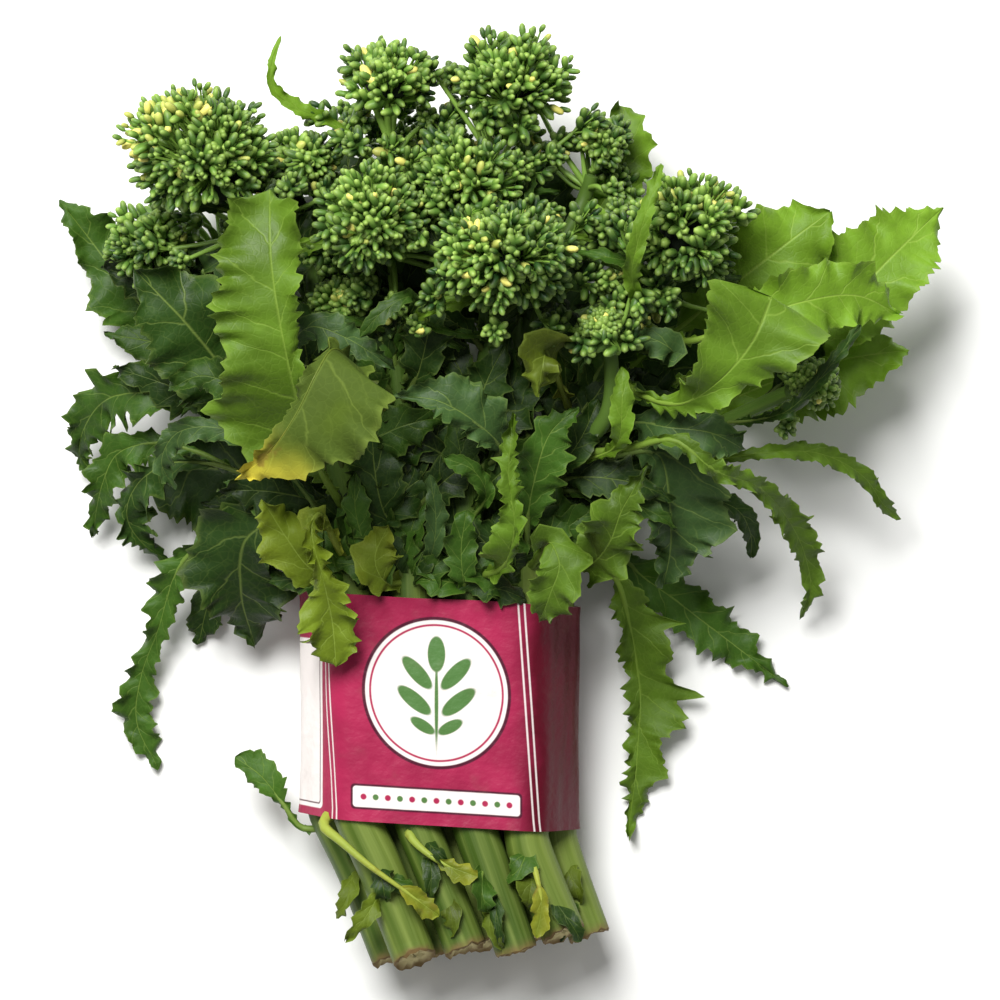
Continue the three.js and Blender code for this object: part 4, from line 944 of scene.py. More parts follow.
def grow_fill(name, fill, seed, materials, settings):
    """A group of plain leaves by rule, as one piece for each of their tints."""
    rng = np.random.default_rng(SEEDS["fill"] + seed)
    shapes = {tint: Shape() for tint in fill.tints}
    for k in range(fill.count):
        stalk = fill.stalks[k % len(fill.stalks)]
        tint = fill.tints[(k // len(fill.stalks)) % len(fill.tints)]
        start = point_at_height(stalk_line(STALK_OF[stalk]), rng.uniform(*fill.roots))
        spans = (fill.turns, fill.lengths, fill.halves, fill.rises)
        turn, reach, half, rise = (rng.uniform(*ends) for ends in spans)
        bend = turn + rng.uniform(-0.5, 0.5)
        via = [start]
        for share, lift in FILL_ARCH:
            way = turn + (bend - turn) * share
            gone = (np.sin(way) * reach * share, np.cos(way) * reach * share, rise * lift)
            via.append(start + np.array(gone))
        widths = [2, 0.75 * half, half, 0.85 * half, 0.5 * half, 1.5]
        tilt = rng.uniform(-0.45, 0.45, 2)
        leaf = Leaf(name, stalk, 0, tint, stem=0.18, via=[], left=widths, right=widths, looks=[(*tilt, 1)],
                    lobes=rng.uniform(0.16, 0.3), tone=rng.uniform(-0.2, 0.7))
        leaf_seed = SEEDS["small leaf"] + GROUPS_APART * seed + k
        add_leaf(shapes[tint], leaf, Midline(via), leaf_seed, settings, FILL_STEP)
    for tint, shape in shapes.items():
        if shape.count:
            shape.piece(f"raab_fill_{name}_{tint}", materials[tint], "leaf_" + tint, [])


def leaf_material(tint, green, settings):
    """Green with pale branching veins, a fine net between them, yellowing and a paler underside."""
    shader = Shader("leaf " + tint)
    place = shader.place()
    across, vein, rib = (shader.mark(name) for name in ("across", "vein", "rib"))
    wobble = 0.3 * (shader.noise(place, 120) - 0.5)
    from_vein = ((vein + wobble + VEIN_SLANT * (1 - across)) % 1 - TOOTH_LEAN).size()
    side_veins = 1 - (from_vein / (0.055 - 0.035 * across)).share()
    midrib = 1 - (across / 0.045).share()
    branches = 1 - (((2.0 * vein - 2.4 * across + 2 * wobble) % 1 - 0.5).size() / 0.06).share()
    veins = (0.7 * side_veins).most(0.22 * branches * across.share(0.1, 0.5)).most(midrib).most(rib)
    net = 1 - shader.cells(place, 330).share(0.0, 0.13)
    blotch = shader.noise(place, 42, 3).share(0.3, 0.7)
    fine = shader.noise(place, 1400)
    deep = tuple(0.45 * c for c in green)
    light = tuple(min(1, 1.6 * c) for c in green)
    mottle = shader.noise(place, 210, 4).share(0.35, 0.75)
    pale = tuple(settings.vein_share * v + (1 - settings.vein_share) * 1.6 * c
                 for v, c in zip(settings.vein_colour, green))
    colour = shader.mix(blotch * 0.35 + 0.65 * shader.mark("tone"), deep, light)
    colour = shader.mix(0.22 * mottle, colour, deep)
    colour = shader.mix(0.04 * net, colour, pale)
    colour = shader.mix(shader.mark("under") * 0.3, colour, tuple(settings.under_colour))
    paling = (0.3 + 0.25 * shader.mark("tone")) * veins + 0.18 * across.share(0.86, 1.0)
    colour = shader.mix(paling, colour, pale)
    yellowing = 0.85 * (shader.mark("age") * (0.4 + 1.2 * shader.noise(place, 55, 3))).share(0.1, 1.0)
    colour = shader.mix(yellowing, colour, tuple(settings.yellow_colour))
    spots = shader.noise(place, 150, 3).share(0.58, 0.7) * shader.mark("age").share(0.12, 0.5)
    colour = shader.mix(0.6 * spots, colour, tuple(settings.spot_colour))
    height = 0.3 * fine - 0.6 * veins - 0.16 * net + 0.5 * from_vein.share(0.0, 0.4)
    roughness = 0.46 + 0.16 * blotch + 0.3 * shader.mark("under")
    return shader.finish(colour, roughness, height, depth=0.0006, strength=0.4, Specular_IOR_Level=0.22)


# Flower heads

# The rings of a bud: how far up it, and how wide, as shares of its length and radius
BUD_RINGS = [(0, 0.3), (0.2, 0.86), (0.52, 1), (0.8, 0.86), (0.95, 0.5), (1, 0.16)]
BUD_SIDES = 5
LOOKS_DOWN = -0.35  # tufts that face the floor more than this have half as many buds
BETWEEN_HEADS = 14  # heads closer than this have small tufts between them
OPEN_HEAD = -0.3  # a head that reaches further back than this has its heart low
HEAD_KNOBS = 5  # a head bulges towards this many sides
KNOB_LOW = 0.86  # of its radius where it doesn't bulge
KNOB_HIGH = 1.08  # and where it bulges most
TUFT_LOW = -0.15  # buds stand on a tuft down to this cosine from the way it faces
SPRAY_BUDS = 13
SPRAY_PITCH = 3.5  # a head has one spray at its foot for so much of its radius
SPRAYS_BETWEEN = 5  # and so many between it and each head close to it
SPRAY_ROOT = 0.35  # they start this share of its radius behind the foot of its neck
# The dark heart is painted shade: a dark ball inside a head, seen through the gaps between its tufts.
HEART_LOW = 0.6  # an open head's dark heart lies this share of its radius behind its middle
HEART_HIGH = 0.05  # and any other head's this one
HEART_RADIUS = 0.38  # and it is this wide
SIDE_LEAN = (0.31, 0.77, -0.55)  # a direction that no head or tuft faces
BUD_LEAN = (0.37, -0.21, 0.9)  # and one that no bud or stem takes


def cap_directions(count, faces, lowest, turn):
    """Directions spread evenly over a cap round the way it faces, down to a cosine of lowest."""
    place = (np.arange(count) + 0.5) / count
    c = 1 - (1 - lowest) * place
    s = np.sqrt(1 - c**2)
    angle = np.arange(count) * np.pi * (3 - 5**0.5) + turn
    side, other = square_to(faces, SIDE_LEAN)
    out = c[:, None] * faces + (s * np.cos(angle))[:, None] * side + (s * np.sin(angle))[:, None] * other
    return out, place


def buds(feet, ways, lengths, radii):
    """Pointed oval buds, all at once: points, faces, and each point's share of its bud's length."""
    outward = spokes(*square_to(ways, BUD_LEAN), BUD_SIDES)
    rising, widths = np.array(BUD_RINGS).T
    centres = feet[:, None] + (lengths[:, None] * rising)[..., None] * ways[:, None]
    points = centres[:, :, None] + (radii[:, None] * widths)[..., None, None] * outward[:, None]
    count = len(feet)
    grid = numbered(len(BUD_RINGS), BUD_SIDES)
    shift = (np.arange(count) * grid.size)[:, None, None]
    faces = [(part[None] + shift).reshape(-1, part.shape[1]) for part in capped(grid)]
    shares = np.broadcast_to(rising[None, :, None], (count, len(BUD_RINGS), BUD_SIDES))
    return points.reshape(-1, 3), faces, shares.ravel()


def stems(starts, ends, first, last, sides):
    """Straight thin stems, all at once: points and faces."""
    outward = spokes(*square_to(unit(ends - starts), BUD_LEAN), sides)
    points = np.stack([starts[:, None] + first * outward, ends[:, None] + last * outward], axis=1)
    grid = numbered(2, sides)
    shift = (np.arange(len(starts)) * grid.size)[:, None, None]
    faces = (quads(grid, closed=True)[None] + shift).reshape(-1, 4)
    return points.reshape(-1, 3), [faces]


def add_tuft(shape, root, centre, out, size, count, marks, rng, settings):
    """A tuft of buds over a small dome, on thin stems that fan from its root. marks are its tone, partly
    random and partly painted light, and the share of its buds that are ripe."""
    tone, ripe = marks
    ways, place = cap_directions(count, out, TUFT_LOW, rng.uniform(0, 6))
    ways = unit(ways + rng.normal(0, 0.14, ways.shape))
    tips = centre + ways * (size * rng.uniform(0.76, 1.08, count))[:, None]
    ways = unit(0.7 * unit(tips - root) + 0.6 * ways + rng.normal(0, 0.24, ways.shape))
    lengths = settings.bud_length / MM * (0.5 + 0.52 * place) * rng.uniform(0.75, 1.1, count)
    radii = lengths**0.8 * settings.bud_slimness * rng.uniform(0.88, 1.12, count)
    feet = tips - ways * lengths[:, None]
    points, parts, up = buds(feet, ways, lengths, radii)
    each = len(points) // count
    yellow = rng.random(count) < ripe * (0.3 + 1.4 * place)
    pale = yellow * rng.choice([0.45, 1.0], count)
    # A bud's tone is partly random and partly painted light: buds that face up are paler.
    bud = 0.6 * tone + 0.5 * rng.random(count) + 0.35 * place * rng.random(count) - 0.25 + 0.2 * ways[:, 2]
    bud = np.clip(bud, 0, 1)
    shape.add(points, parts, up=up, bud=np.repeat(bud, each), ripe=np.repeat(pale, each))
    points, parts = stems(np.repeat(root[None], count, 0), feet + ways * 0.8, 0.5, 0.42, 3)
    shape.add(points, parts, stem=1.0, bud=tone)


def add_spray(shape, start, centre, up, rng, settings):
    """A small tuft of buds on a bent branchlet, kept clear of the CAD model's sides."""
    size = settings.spray / MM * rng.uniform(0.65, 1.15)
    low, high = (np.array(end) / MM - ORIGIN / MM for end in (CAD_LOW, CAD_HIGH))
    centre = np.clip(centre, low + 2 * size, high - 2 * size)
    root = centre - up * 1.1 * size
    add_tuft(shape, root, centre, up, size, SPRAY_BUDS, (0.5 * rng.random(), 0.03), rng, settings)
    bend = 0.5 * (start + root) + rng.normal(0, 2, 3)
    points, parts = tube(Midline([start, bend, root]), [1.3, 0.8], sides=5, steps=7)
    shape.add(points, parts, stem=1.0)


def add_tufts(shape, head, seed, rng, settings):
    """The tufts of a head, and the branchlets that carry them."""
    faces, foot, _ = neck(head)
    middle = np.array(head.at, float)
    cluster = min(settings.cluster / MM, 0.48 * head.radius)
    count = round(2.1 * head.crowded * (1 - head.hood) * (head.radius / cluster) ** 2)
    outs, _ = cap_directions(count, faces, head.hood, seed)
    outs = unit(outs + rng.normal(0, 0.14, outs.shape))
    knobs = unit(faces + rng.normal(0, 0.8, (HEAD_KNOBS, 3)))
    roots = []
    for out in outs:
        size = cluster * rng.uniform(0.72, 1.25)
        swell = KNOB_LOW + (KNOB_HIGH - KNOB_LOW) * np.clip(knobs @ out, 0, 1).max() ** 8
        per_tuft = settings.buds_per_tuft * (1 if out[2] > LOOKS_DOWN else 0.5)
        centre = middle + out * head.wide * (head.radius * swell * rng.uniform(0.95, 1.05) - size)
        root = centre - out * 0.8 * size - 0.14 * head.radius * faces
        lit_ripe_side = np.clip(out.dot(unit(head.lit_ripe_side)), 0, 1)
        # The tuft's tone is painted lighter on the head's lit side, as painted light; its yellow buds gather
        # on that side too.
        marks = (np.clip(0.8 * rng.random() + 0.4 * lit_ripe_side, 0, 1), head.ripe * (0.3 + 3.5 * lit_ripe_side**3))
        grown = round(per_tuft * (size / cluster) ** 2)
        add_tuft(shape, root, centre, out, size, grown, marks, rng, settings)
        roots.append(root)
    roots = np.array(roots)
    fork = foot + 0.15 * head.radius * faces
    points, parts = stems(np.repeat(fork[None], count, 0), roots, 0.07 * head.radius, 0.9, 6)
    shape.add(points, parts, stem=1.0)


def add_sprays(shape, head, seed, rng, settings):
    """The sprays round a head's foot, and between it and the heads before it that stand close."""
    faces, foot, _ = neck(head)
    middle = np.array(head.at, float)
    spray_root = foot - SPRAY_ROOT * head.radius * faces
    side, other = square_to(faces, SIDE_LEAN)
    for k in range(round(head.radius / SPRAY_PITCH)):
        angle = 2.4 * k + seed
        out = np.cos(angle) * side + np.sin(angle) * other
        reach = head.wide * out * (head.radius + rng.uniform(-3, 4))
        centre = middle + reach - faces * head.radius * rng.uniform(0.3, 1.0)
        add_spray(shape, spray_root, centre, unit(out + 0.7 * faces + (0, 0, 0.5)), rng, settings)
    for near in list(HEADS.values())[:seed]:
        away = np.array(near.at) - middle
        gap = np.linalg.norm(away) - near.radius - head.radius
        if gap > BETWEEN_HEADS:
            continue
        between = middle + away * (head.radius + gap / 2) / np.linalg.norm(away)
        for _ in range(SPRAYS_BETWEEN):
            centre = between + rng.normal(0, 8, 3) - (0, 0, rng.uniform(0, 18))
            up = unit(rng.normal(0, 0.5, 3) + (0, 0.3, 1))
            add_spray(shape, spray_root, centre, up, rng, settings)


def grow_head(name, head, seed, material, settings):
    """A head: tufts of buds on branchlets, sprays round its foot, and a dark heart, a matte ball of painted
    shade seen through the gaps between its tufts.
    """
    rng = np.random.default_rng(SEEDS["head"] + seed)
    shape = Shape()
    add_tufts(shape, head, seed, rng, settings)
    add_sprays(shape, head, seed, rng, settings)
    faces = unit(head.faces)
    # The heart is painted shade: a dark matte ball that shows through the gaps between the tufts.
    inside = HEART_LOW if head.hood < OPEN_HEAD else HEART_HIGH
    root = np.array(head.at, float) - inside * head.radius * faces
    heart, parts, _ = buds(root[None], faces[None], np.array([(0.25 + inside) * head.radius]),
                           np.array([HEART_RADIUS * head.radius]))
    shape.add(heart, parts, heart=1.0)
    node = "head_" + name
    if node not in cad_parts:
        node = "stalk_" + next(s.name for s in STALKS if s.side and s.side.head == name or s.head == name)
    return shape.piece("raab_head_" + name, material, "buds", [node], sharp=1.4)


def bud_material(settings):
    """Dark green buds with paler shoulders, painted lighter where light falls on them, a few yellow ones, on
    pale green stems round a dark heart of painted shade.
    """
    shader = Shader("buds")
    place = shader.place()
    up, bud, ripe = (shader.mark(name) for name in ("up", "bud", "ripe"))
    speckle = shader.noise(place, 700)
    # Each bud's tone, partly painted light, runs from the dark green to the light green; the pale tips grow
    # with it.
    colour = shader.mix(bud, tuple(settings.dark), tuple(settings.light))
    tipped = (up * 0.75 + 0.25 * speckle).share(0.5, 1.0) * (0.25 + 0.6 * bud)
    colour = shader.mix(tipped, colour, tuple(settings.tip))
    colour = shader.mix(ripe * up.share(0.0, 0.5), colour, tuple(settings.ripe))
    colour = shader.mix(shader.mark("stem") * 0.85, colour, tuple(settings.stem))
    # The heart's dark green is painted shade.
    colour = shader.mix(shader.mark("heart"), colour, tuple(settings.heart))
    height = shader.noise(place, 1500)
    roughness = 0.4 + 0.2 * speckle + 0.6 * shader.mark("heart")
    return shader.finish(colour, roughness, height, depth=0.0003, strength=0.25, Specular_IOR_Level=0.4)


# Stalks

STALK_RINGS = 72  # rings of points along a stalk
RIDGE_SIDES = 3  # points of a ring for each ridge
CUT_FADE = 7  # the tan of a cut end fades over this length
CUT_SLOPE = (1, 9)  # how much further back a stalk is cut on its upper side than below
CUT_EASE = (1, 0.75, 0.45, 0.2)  # how the first rings of a stalk share that slope
CUT_FRAY = 1.3
CUT_RINGS = ((0.93, -0.5), (0.8, 0.1), (0.55, 0.7), (0.3, 0.9), (0.08, 0.8))  # of a cut face: radius, depth
CUT_DEPTH = (0.8, 1, 1, 1, 1, 1)  # how far each ring and the rim has a cut's colour
CUT_PITH = (0, 0, 0.3, 0.8, 1, 1)  # and the pith's
SHOOT_FROM = 130  # a stalk turns from pale to green this far from its cut end
SHOOT_OVER = 60  # over this length


def grow_stalk(stalk, material, settings):
    """A ridged stalk from its cut end to the heart of its head, with its side branch."""
    rng = np.random.default_rng(SEEDS["stalk"] + sum(map(ord, stalk.name)))
    line = stalk_line(stalk)
    wide = STALK_RADIUS
    radii = [0.98 * wide, wide, wide, wide - 0.3, wide - 1.4, 0.6 * wide, stalk.top, stalk.top]
    sides = settings.ridges * RIDGE_SIDES
    shares = np.linspace(0, 1, STALK_RINGS)
    points = rings(line, radii, sides, shares, settings.ridge_depth, settings.ridges)
    drift = 1 + 0.03 * np.sin(9 * shares + rng.uniform(0, 6))
    middles = line.at(shares)[:, None]
    points = middles + (points - middles) * drift[:, None, None]
    way, centre = line.ways([0])[0], line.at([0])[0]
    slope = rng.uniform(*CUT_SLOPE)
    for ring, share in enumerate(CUT_EASE):
        height = (points[ring, :, 2] - centre[2]) / wide
        points[ring] += (share * slope * (0.5 + 0.5 * height))[:, None] * way
    points[0] += rng.uniform(0, CUT_FRAY, sides)[:, None] * way
    grid = numbered(STALK_RINGS, sides)
    shape = Shape()
    angles = np.tile(round_angles(sides), STALK_RINGS)
    run = np.repeat(shares * line.length, sides)
    shape.add(
        points, [quads(grid, closed=True), grid[-1:]],
        run=run, turn_x=np.cos(angles), turn_y=np.sin(angles), tone=rng.uniform(-0.4, 0.3),
        cut=np.clip(1 - run / CUT_FADE, 0, 1) * 0.5, shoot=np.clip((run - SHOOT_FROM) / SHOOT_OVER, 0, 1),
    )

    rim = points[0]
    centre = rim.mean(axis=0)
    cap = [rim]
    for share, sink in CUT_RINGS:
        fray = rng.normal(0, 0.4, sides)
        cap.append(centre + (rim - centre) * share + (sink + fray)[:, None] * way)
    grid = numbered(len(cap), sides)
    shape.add(np.array(cap), [quads(grid[:, ::-1], closed=True), grid[-1:, ::-1]],
              cut=np.repeat(CUT_DEPTH, sides), pith=np.repeat(CUT_PITH, sides))
    if stalk.side:
        top = stalk.side.top
        points, parts = tube(side_line(stalk), [1.3 * top, top], sides=12, steps=40)
        shape.add(points, parts, shoot=1.0)
    return shape.piece("raab_stalk_" + stalk.name, material, "stalk", ["stalk_" + stalk.name])


def stalk_material(settings):
    """Pale green with long streaks and a waxy bloom, and tan where it was cut."""
    shader = Shader("stalk")
    turn = {"X": STALK_RADIUS * shader.mark("turn_x"), "Y": STALK_RADIUS * shader.mark("turn_y"),
            "Z": 0.03 * shader.mark("run")}
    grown = shader.node("CombineXYZ", {}, turn)
    streak = shader.noise(grown, 0.55, 3).share(0.4, 0.65)
    broad = shader.noise(grown, 0.12, 3).share(0.3, 0.7)
    fine = shader.noise(grown, 2.2)
    speck = shader.noise(shader.place(), 260, 4)
    colour = shader.mix(broad + shader.mark("tone"), tuple(settings.green), tuple(settings.pale))
    colour = shader.mix(0.2 * streak * broad, colour, tuple(settings.streak))
    colour = shader.mix(0.75 * shader.mark("shoot"), colour, tuple(settings.shoot))
    cut, pith = shader.mark("cut"), shader.mark("pith")
    inner = (pith * 0.8 + 0.4 * speck).share(0.2, 1.0)
    face = shader.mix(inner, tuple(settings.cut_rim), tuple(settings.cut_pith))
    colour = shader.mix((cut + 0.9 * cut * (speck - 0.5)).share(0.1, 0.7), colour, face)
    height = 0.3 * streak + 0.2 * fine + cut * speck * 3
    return shader.finish(colour, 0.42 + 0.2 * broad + 0.3 * cut, height, depth=0.0006, strength=0.45,
                         Specular_IOR_Level=0.3)


# Band

LAP = 22  # the paper laps over its own start by this length
LAP_EASE = 6  # and climbs onto it over this one
SEAM_HEIGHT = 26  # it starts this high on the left flank
AWAY = 1000  # more than any distance here, so that a search stays on one side of the band
OUTLINE_SIDES = 48  # of the circle round each stalk that the paper is drawn over
OUTLINE_SOFT = 4  # points on each side that a point of the outline is averaged with
BAND_ROWS = 22  # rows of points up the paper
WRINKLES = ((0.22, 47, 0.8), (0.14, 19, -1.4), (0.1, 8.3, 0.9))  # height, pitch and slant
EDGE_BLUR = 0.25  # of the print


def hull(points):
    """Convex hull of points in the plane, anticlockwise."""
    ordered = sorted(map(tuple, points))

    def half(chain):
        """The corners on one side of the hull."""
        kept = []
        for p in chain:
            while len(kept) > 1:
                (ax, ay), (bx, by) = kept[-2:]
                if (bx - ax) * (p[1] - ay) - (by - ay) * (p[0] - ax) > 1e-6:
                    break
                kept.pop()
            kept.append(p)
        return kept[:-1]

    return half(ordered) + half(ordered[::-1])


def band_outline(grow):
    """The line that the paper follows round the stalks, as points one millimetre apart."""
    angles = round_angles(OUTLINE_SIDES)
    ring = (STALK_RADIUS + grow) * np.stack([np.cos(angles), np.sin(angles)], axis=-1)
    places = [(BUNDLE_X + s.column * STALK_PITCH, LOWEST_ROW + s.row * ROW_RISE) for s in STALKS]
    corners = hull(np.concatenate([np.array(place) + ring for place in places]))
    corners = np.array(corners + corners[:1])
    walked = np.concatenate([[0], np.cumsum(np.linalg.norm(np.diff(corners, axis=0), axis=1))])
    around = np.linspace(0, walked[-1], round(walked[-1]), endpoint=False)
    line = np.stack([np.interp(around, walked, corners[:, k]) for k in range(2)], axis=-1)
    wrapped = np.concatenate([line[-OUTLINE_SOFT:], line, line[:OUTLINE_SOFT]])
    window = np.ones(2 * OUTLINE_SOFT + 1) / (2 * OUTLINE_SOFT + 1)
    return np.stack([np.convolve(wrapped[:, k], window, mode="valid") for k in range(2)], axis=-1)


def make_band(material, settings):
    """The paper band: one strip that starts on the left flank, goes round, and laps over its own start."""
    rng = np.random.default_rng(SEEDS["band"])
    line = band_outline(BAND_SLACK)
    start = np.argmin(np.abs(line[:, 1] - SEAM_HEIGHT) + AWAY * (line[:, 0] > BUNDLE_X))
    line = np.roll(line, -start, axis=0)  # anticlockwise: down the left flank, under, up the right, over
    strip = np.concatenate([line, line[:LAP]])
    ways = unit(np.roll(line, -1, axis=0) - np.roll(line, 1, axis=0))
    ways = np.concatenate([ways, ways[:LAP]])
    outs = np.stack([ways[:, 1], -ways[:, 0]], axis=-1)
    place = np.arange(len(strip))
    over = np.clip((place - len(line) + LAP_EASE) / LAP_EASE, 0, 1)
    top_middle = np.argmin(np.abs(line[:, 0] - BUNDLE_X) + AWAY * (line[:, 1] < 30))
    around = top_middle - place.astype(float)  # 0 at the middle of the upper side, growing to the right
    rise = np.linspace(0, 1, BAND_ROWS)
    wrinkle = sum(
        size * np.sin(2 * np.pi * (place / pitch + slant * rise[:, None]) + turn)
        for (size, pitch, slant), turn in zip(WRINKLES, rng.uniform(0, 6, 3))
    )
    lip = 0.5 * np.clip((rise - 0.93) / 0.07, 0, 1) ** 2 + 0.4 * np.clip((0.06 - rise) / 0.06, 0, 1) ** 2
    height = BAND_TOP - BAND_BOTTOM
    thick = settings.paper / MM
    wavy = 0.35 * np.sin(place / 23.0) + 0.2 * np.sin(place / 9.0 + 1)

    def layer(grow):
        """The paper's points, pushed out by its thickness for the outer side and by nothing for the inner."""
        push = grow + over * (thick + 0.15) + np.clip(0.35 + wrinkle, 0, 0.8) + lip[:, None]
        flat = strip + outs * push[..., None]
        x, z = flat[..., 0], np.maximum(flat[..., 1], thick if grow else 0.0)
        y = BAND_BOTTOM + rise[:, None] * height + wavy * (rise[:, None] > 0.5) - BAND_SLANT * (x - BUNDLE_X)
        return np.stack([x, y, z], axis=-1)

    outer, inner = layer(thick), layer(0.0)
    shape = Shape()
    points, faces = sheet(outer[:, ::-1], inner[:, ::-1])
    size = outer.shape[:2]
    around = np.broadcast_to(around[::-1], size)
    lift = np.broadcast_to(rise[:, None] * height, size)
    shape.add(points, faces, around=both_sides(around), lift=both_sides(lift),
              inside=both_sides(np.zeros(size), np.ones(size)))
    return shape.piece("raab_band", material, "band_paper", ["band"], sharp=0.6)


def band_material(settings):
    """Glossy printed paper: a pink ground with pinstripes, an oval with a plain sprig, and a side panel, with
    painted shade darkening the ground towards its right side.
    """
    shader = Shader("band paper")
    around, lift = shader.mark("around"), shader.mark("lift")

    def box(x, y, half_x, half_y, corner):
        """1 inside a rounded rectangle that is centred on x, y."""
        dx = ((around - x).size() - (half_x - corner)).most(0.0)
        dy = ((lift - y).size() - (half_y - corner)).most(0.0)
        return 1 - ((dx * dx + dy * dy) ** 0.5).share(corner - EDGE_BLUR, corner + EDGE_BLUR)

    def oval(x, y, half_x, half_y, turn=0.0):
        """1 inside an oval that is turned by an angle."""
        dx, dy = around - x, lift - y
        along_it = (dx * float(np.cos(turn)) + dy * float(np.sin(turn))) / half_x
        across_it = (dy * float(np.cos(turn)) - dx * float(np.sin(turn))) / half_y
        near = EDGE_BLUR / min(half_x, half_y)
        return 1 - ((along_it * along_it + across_it * across_it) ** 0.5).share(1 - near, 1 + near)

    inks = ("pink", "deep", "panel", "ink", "leaf")
    pink, deep, panel, ink, leaf = (tuple(getattr(settings, name)) for name in inks)
    place = shader.place()
    mottle = shader.noise(place, 60, 3).share(0.3, 0.7)
    # The ground darkens to the deep pink towards the band's right side: painted shade, where the band curves
    # away from the lamp. The mottle adds a little of it at random.
    colour = shader.mix((mottle * 0.3 + around.share(24.0, 40.0)).least(1.0), pink, deep)
    for middle in PINSTRIPES:
        line = 1 - (around - middle + 0.07 * (lift - 41)).size().share(0.15, 0.5)
        colour = shader.mix(0.8 * line, colour, panel)
    x, y = OVAL_AT
    borders = ((27, 27.5, ink), (25.8, 26.3, panel), (24.4, 24.9, pink), (23.6, 24.1, panel))
    for half_x, half_y, ground in borders:
        colour = shader.mix(oval(x, y, half_x, half_y), colour, ground)
    for dx, dy, half_x, half_y, turn in SPRIG:
        colour = shader.mix(oval(x + dx, y + dy, half_x, half_y, turn), colour, leaf)
    x, y = BAR_AT
    colour = shader.mix(box(x, y, 31, 4.6, 1.5), colour, ink)
    colour = shader.mix(box(x, y, 30.2, 3.8, 1.2), colour, panel)
    for step in range(-BAR_DOTS, BAR_DOTS + 1):
        colour = shader.mix(oval(x + DOT_PITCH * step, y, 1.1, 1.1), colour, leaf if step % 2 else pink)
    x, y = PANEL_AT
    colour = shader.mix(box(x, y, 22, 31, 2), colour, panel)
    colour = shader.mix(box(x, y, 20.5, 29.5, 1.5) - box(x, y, 20, 29, 1.2), colour, ink)
    dirt = shader.noise(place, 95, 4).share(0.55, 0.85)
    colour = shader.mix(0.22 * dirt, colour, tuple(settings.dirt))
    colour = shader.mix(shader.mark("inside"), colour, panel)
    height = shader.noise(place, 300, 3) + 2 * shader.noise(place, 45)
    roughness = 0.42 + 0.15 * dirt
    return shader.finish(colour, roughness, height, depth=0.001, strength=0.35, Specular_IOR_Level=0.2)


# Settings: the sizes and colours that a user would change

def a_length(name, words, millimetres):
    """A length, given in millimetres and kept in metres."""
    return bpy.props.FloatProperty(
        name=name, description=words, default=millimetres * MM, min=0, unit="LENGTH", precision=5)


def a_colour(name, words, *shade):
    """A colour, given as a picture shows it, 0 to 255."""
    return bpy.props.FloatVectorProperty(
        name=name, description=words, default=srgb(*shade), size=3, min=0, max=1, subtype="COLOR")


def a_share(name, words, usual, low=0, high=1):
    """A share of something else."""
    return bpy.props.FloatProperty(
        name=name, description=words, default=usual, min=low, max=high, subtype="FACTOR")


def a_number(name, words, usual, low, high):
    """A whole number."""
    return bpy.props.IntProperty(name=name, description=words, default=usual, min=low, max=high)


class RaabLeafSettings(bpy.types.PropertyGroup):
    """The leaves' sizes and colours."""
    blade: a_length("Blade", "Thickness of a leaf's blade", 0.5)
    tooth_pitch: a_length("Tooth pitch", "Distance between the teeth of a leaf's edge", 4.8)
    tooth_depth: a_length("Tooth depth", "How far the teeth stand out", 3.3)
    barb: a_length("Barbs", "How far the smallest points of the edge stand out", 1.3)
    ruffle: a_length("Ruffle", "How far a leaf's edge waves up and down", 4)
    # The dark green is partly the leaves' own and partly painted shade: the inner, filling and under leaves
    # take it to darken the depths of the bunch.
    dark: a_colour("Dark", "Green of the older leaves", 35, 60, 14)
    mid: a_colour("Middle", "Green of most leaves", 51, 82, 19)
    blue: a_colour("Bluish", "Green of the leaves with a waxy bloom", 54, 80, 37)
    bright: a_colour("Bright", "Green of the young leaves", 92, 125, 28)
    yellow: a_colour("Yellowing", "Green of the leaves that begin to fade", 92, 110, 22)
    vein_colour: a_colour("Veins", "Pale green of the veins and leaf stems", 168, 188, 92)
    vein_share: a_share("Vein paleness", "How much of the veins' own colour shows", 0.55)
    under_colour: a_colour("Underside", "Paler green of the undersides", 70, 96, 32)
    yellow_colour: a_colour("Aged", "Yellow of what has faded", 206, 190, 60)
    spot_colour: a_colour("Spots", "Brown of the spots on the fading leaves", 112, 86, 36)


class RaabHeadSettings(bpy.types.PropertyGroup):
    """The flower heads' sizes and colours."""
    bud_length: a_length("Bud length", "Length of the largest buds", 8.2)
    bud_slimness: a_share("Bud slimness", "A bud's radius, as a share of its length", 0.36, 0.1, 0.8)
    cluster: a_length("Tuft radius", "Radius of one tuft of buds", 10.5)
    spray: a_length("Spray radius", "Radius of a small tuft beside a head", 7)
    buds_per_tuft: a_number("Buds in a tuft", "How many buds a tuft has", 22, 3, 60)
    dark: a_colour("Dark", "Green of the shaded and young buds", 30, 62, 20)
    # The light green is partly painted light: buds on a head's lit side and buds that face up take more of
    # it.
    light: a_colour("Light", "Green of the older buds", 108, 148, 56)
    tip: a_colour("Tip", "Green of the buds' tips", 168, 194, 92)
    ripe: a_colour("Ripe", "Yellow of the buds about to open", 226, 218, 112)
    stem: a_colour("Stem", "Pale green of the thin stems", 128, 164, 66)
    # Painted shade: the colour of the dark ball inside a head.
    heart: a_colour("Heart", "Dark green inside a head", 14, 26, 8)


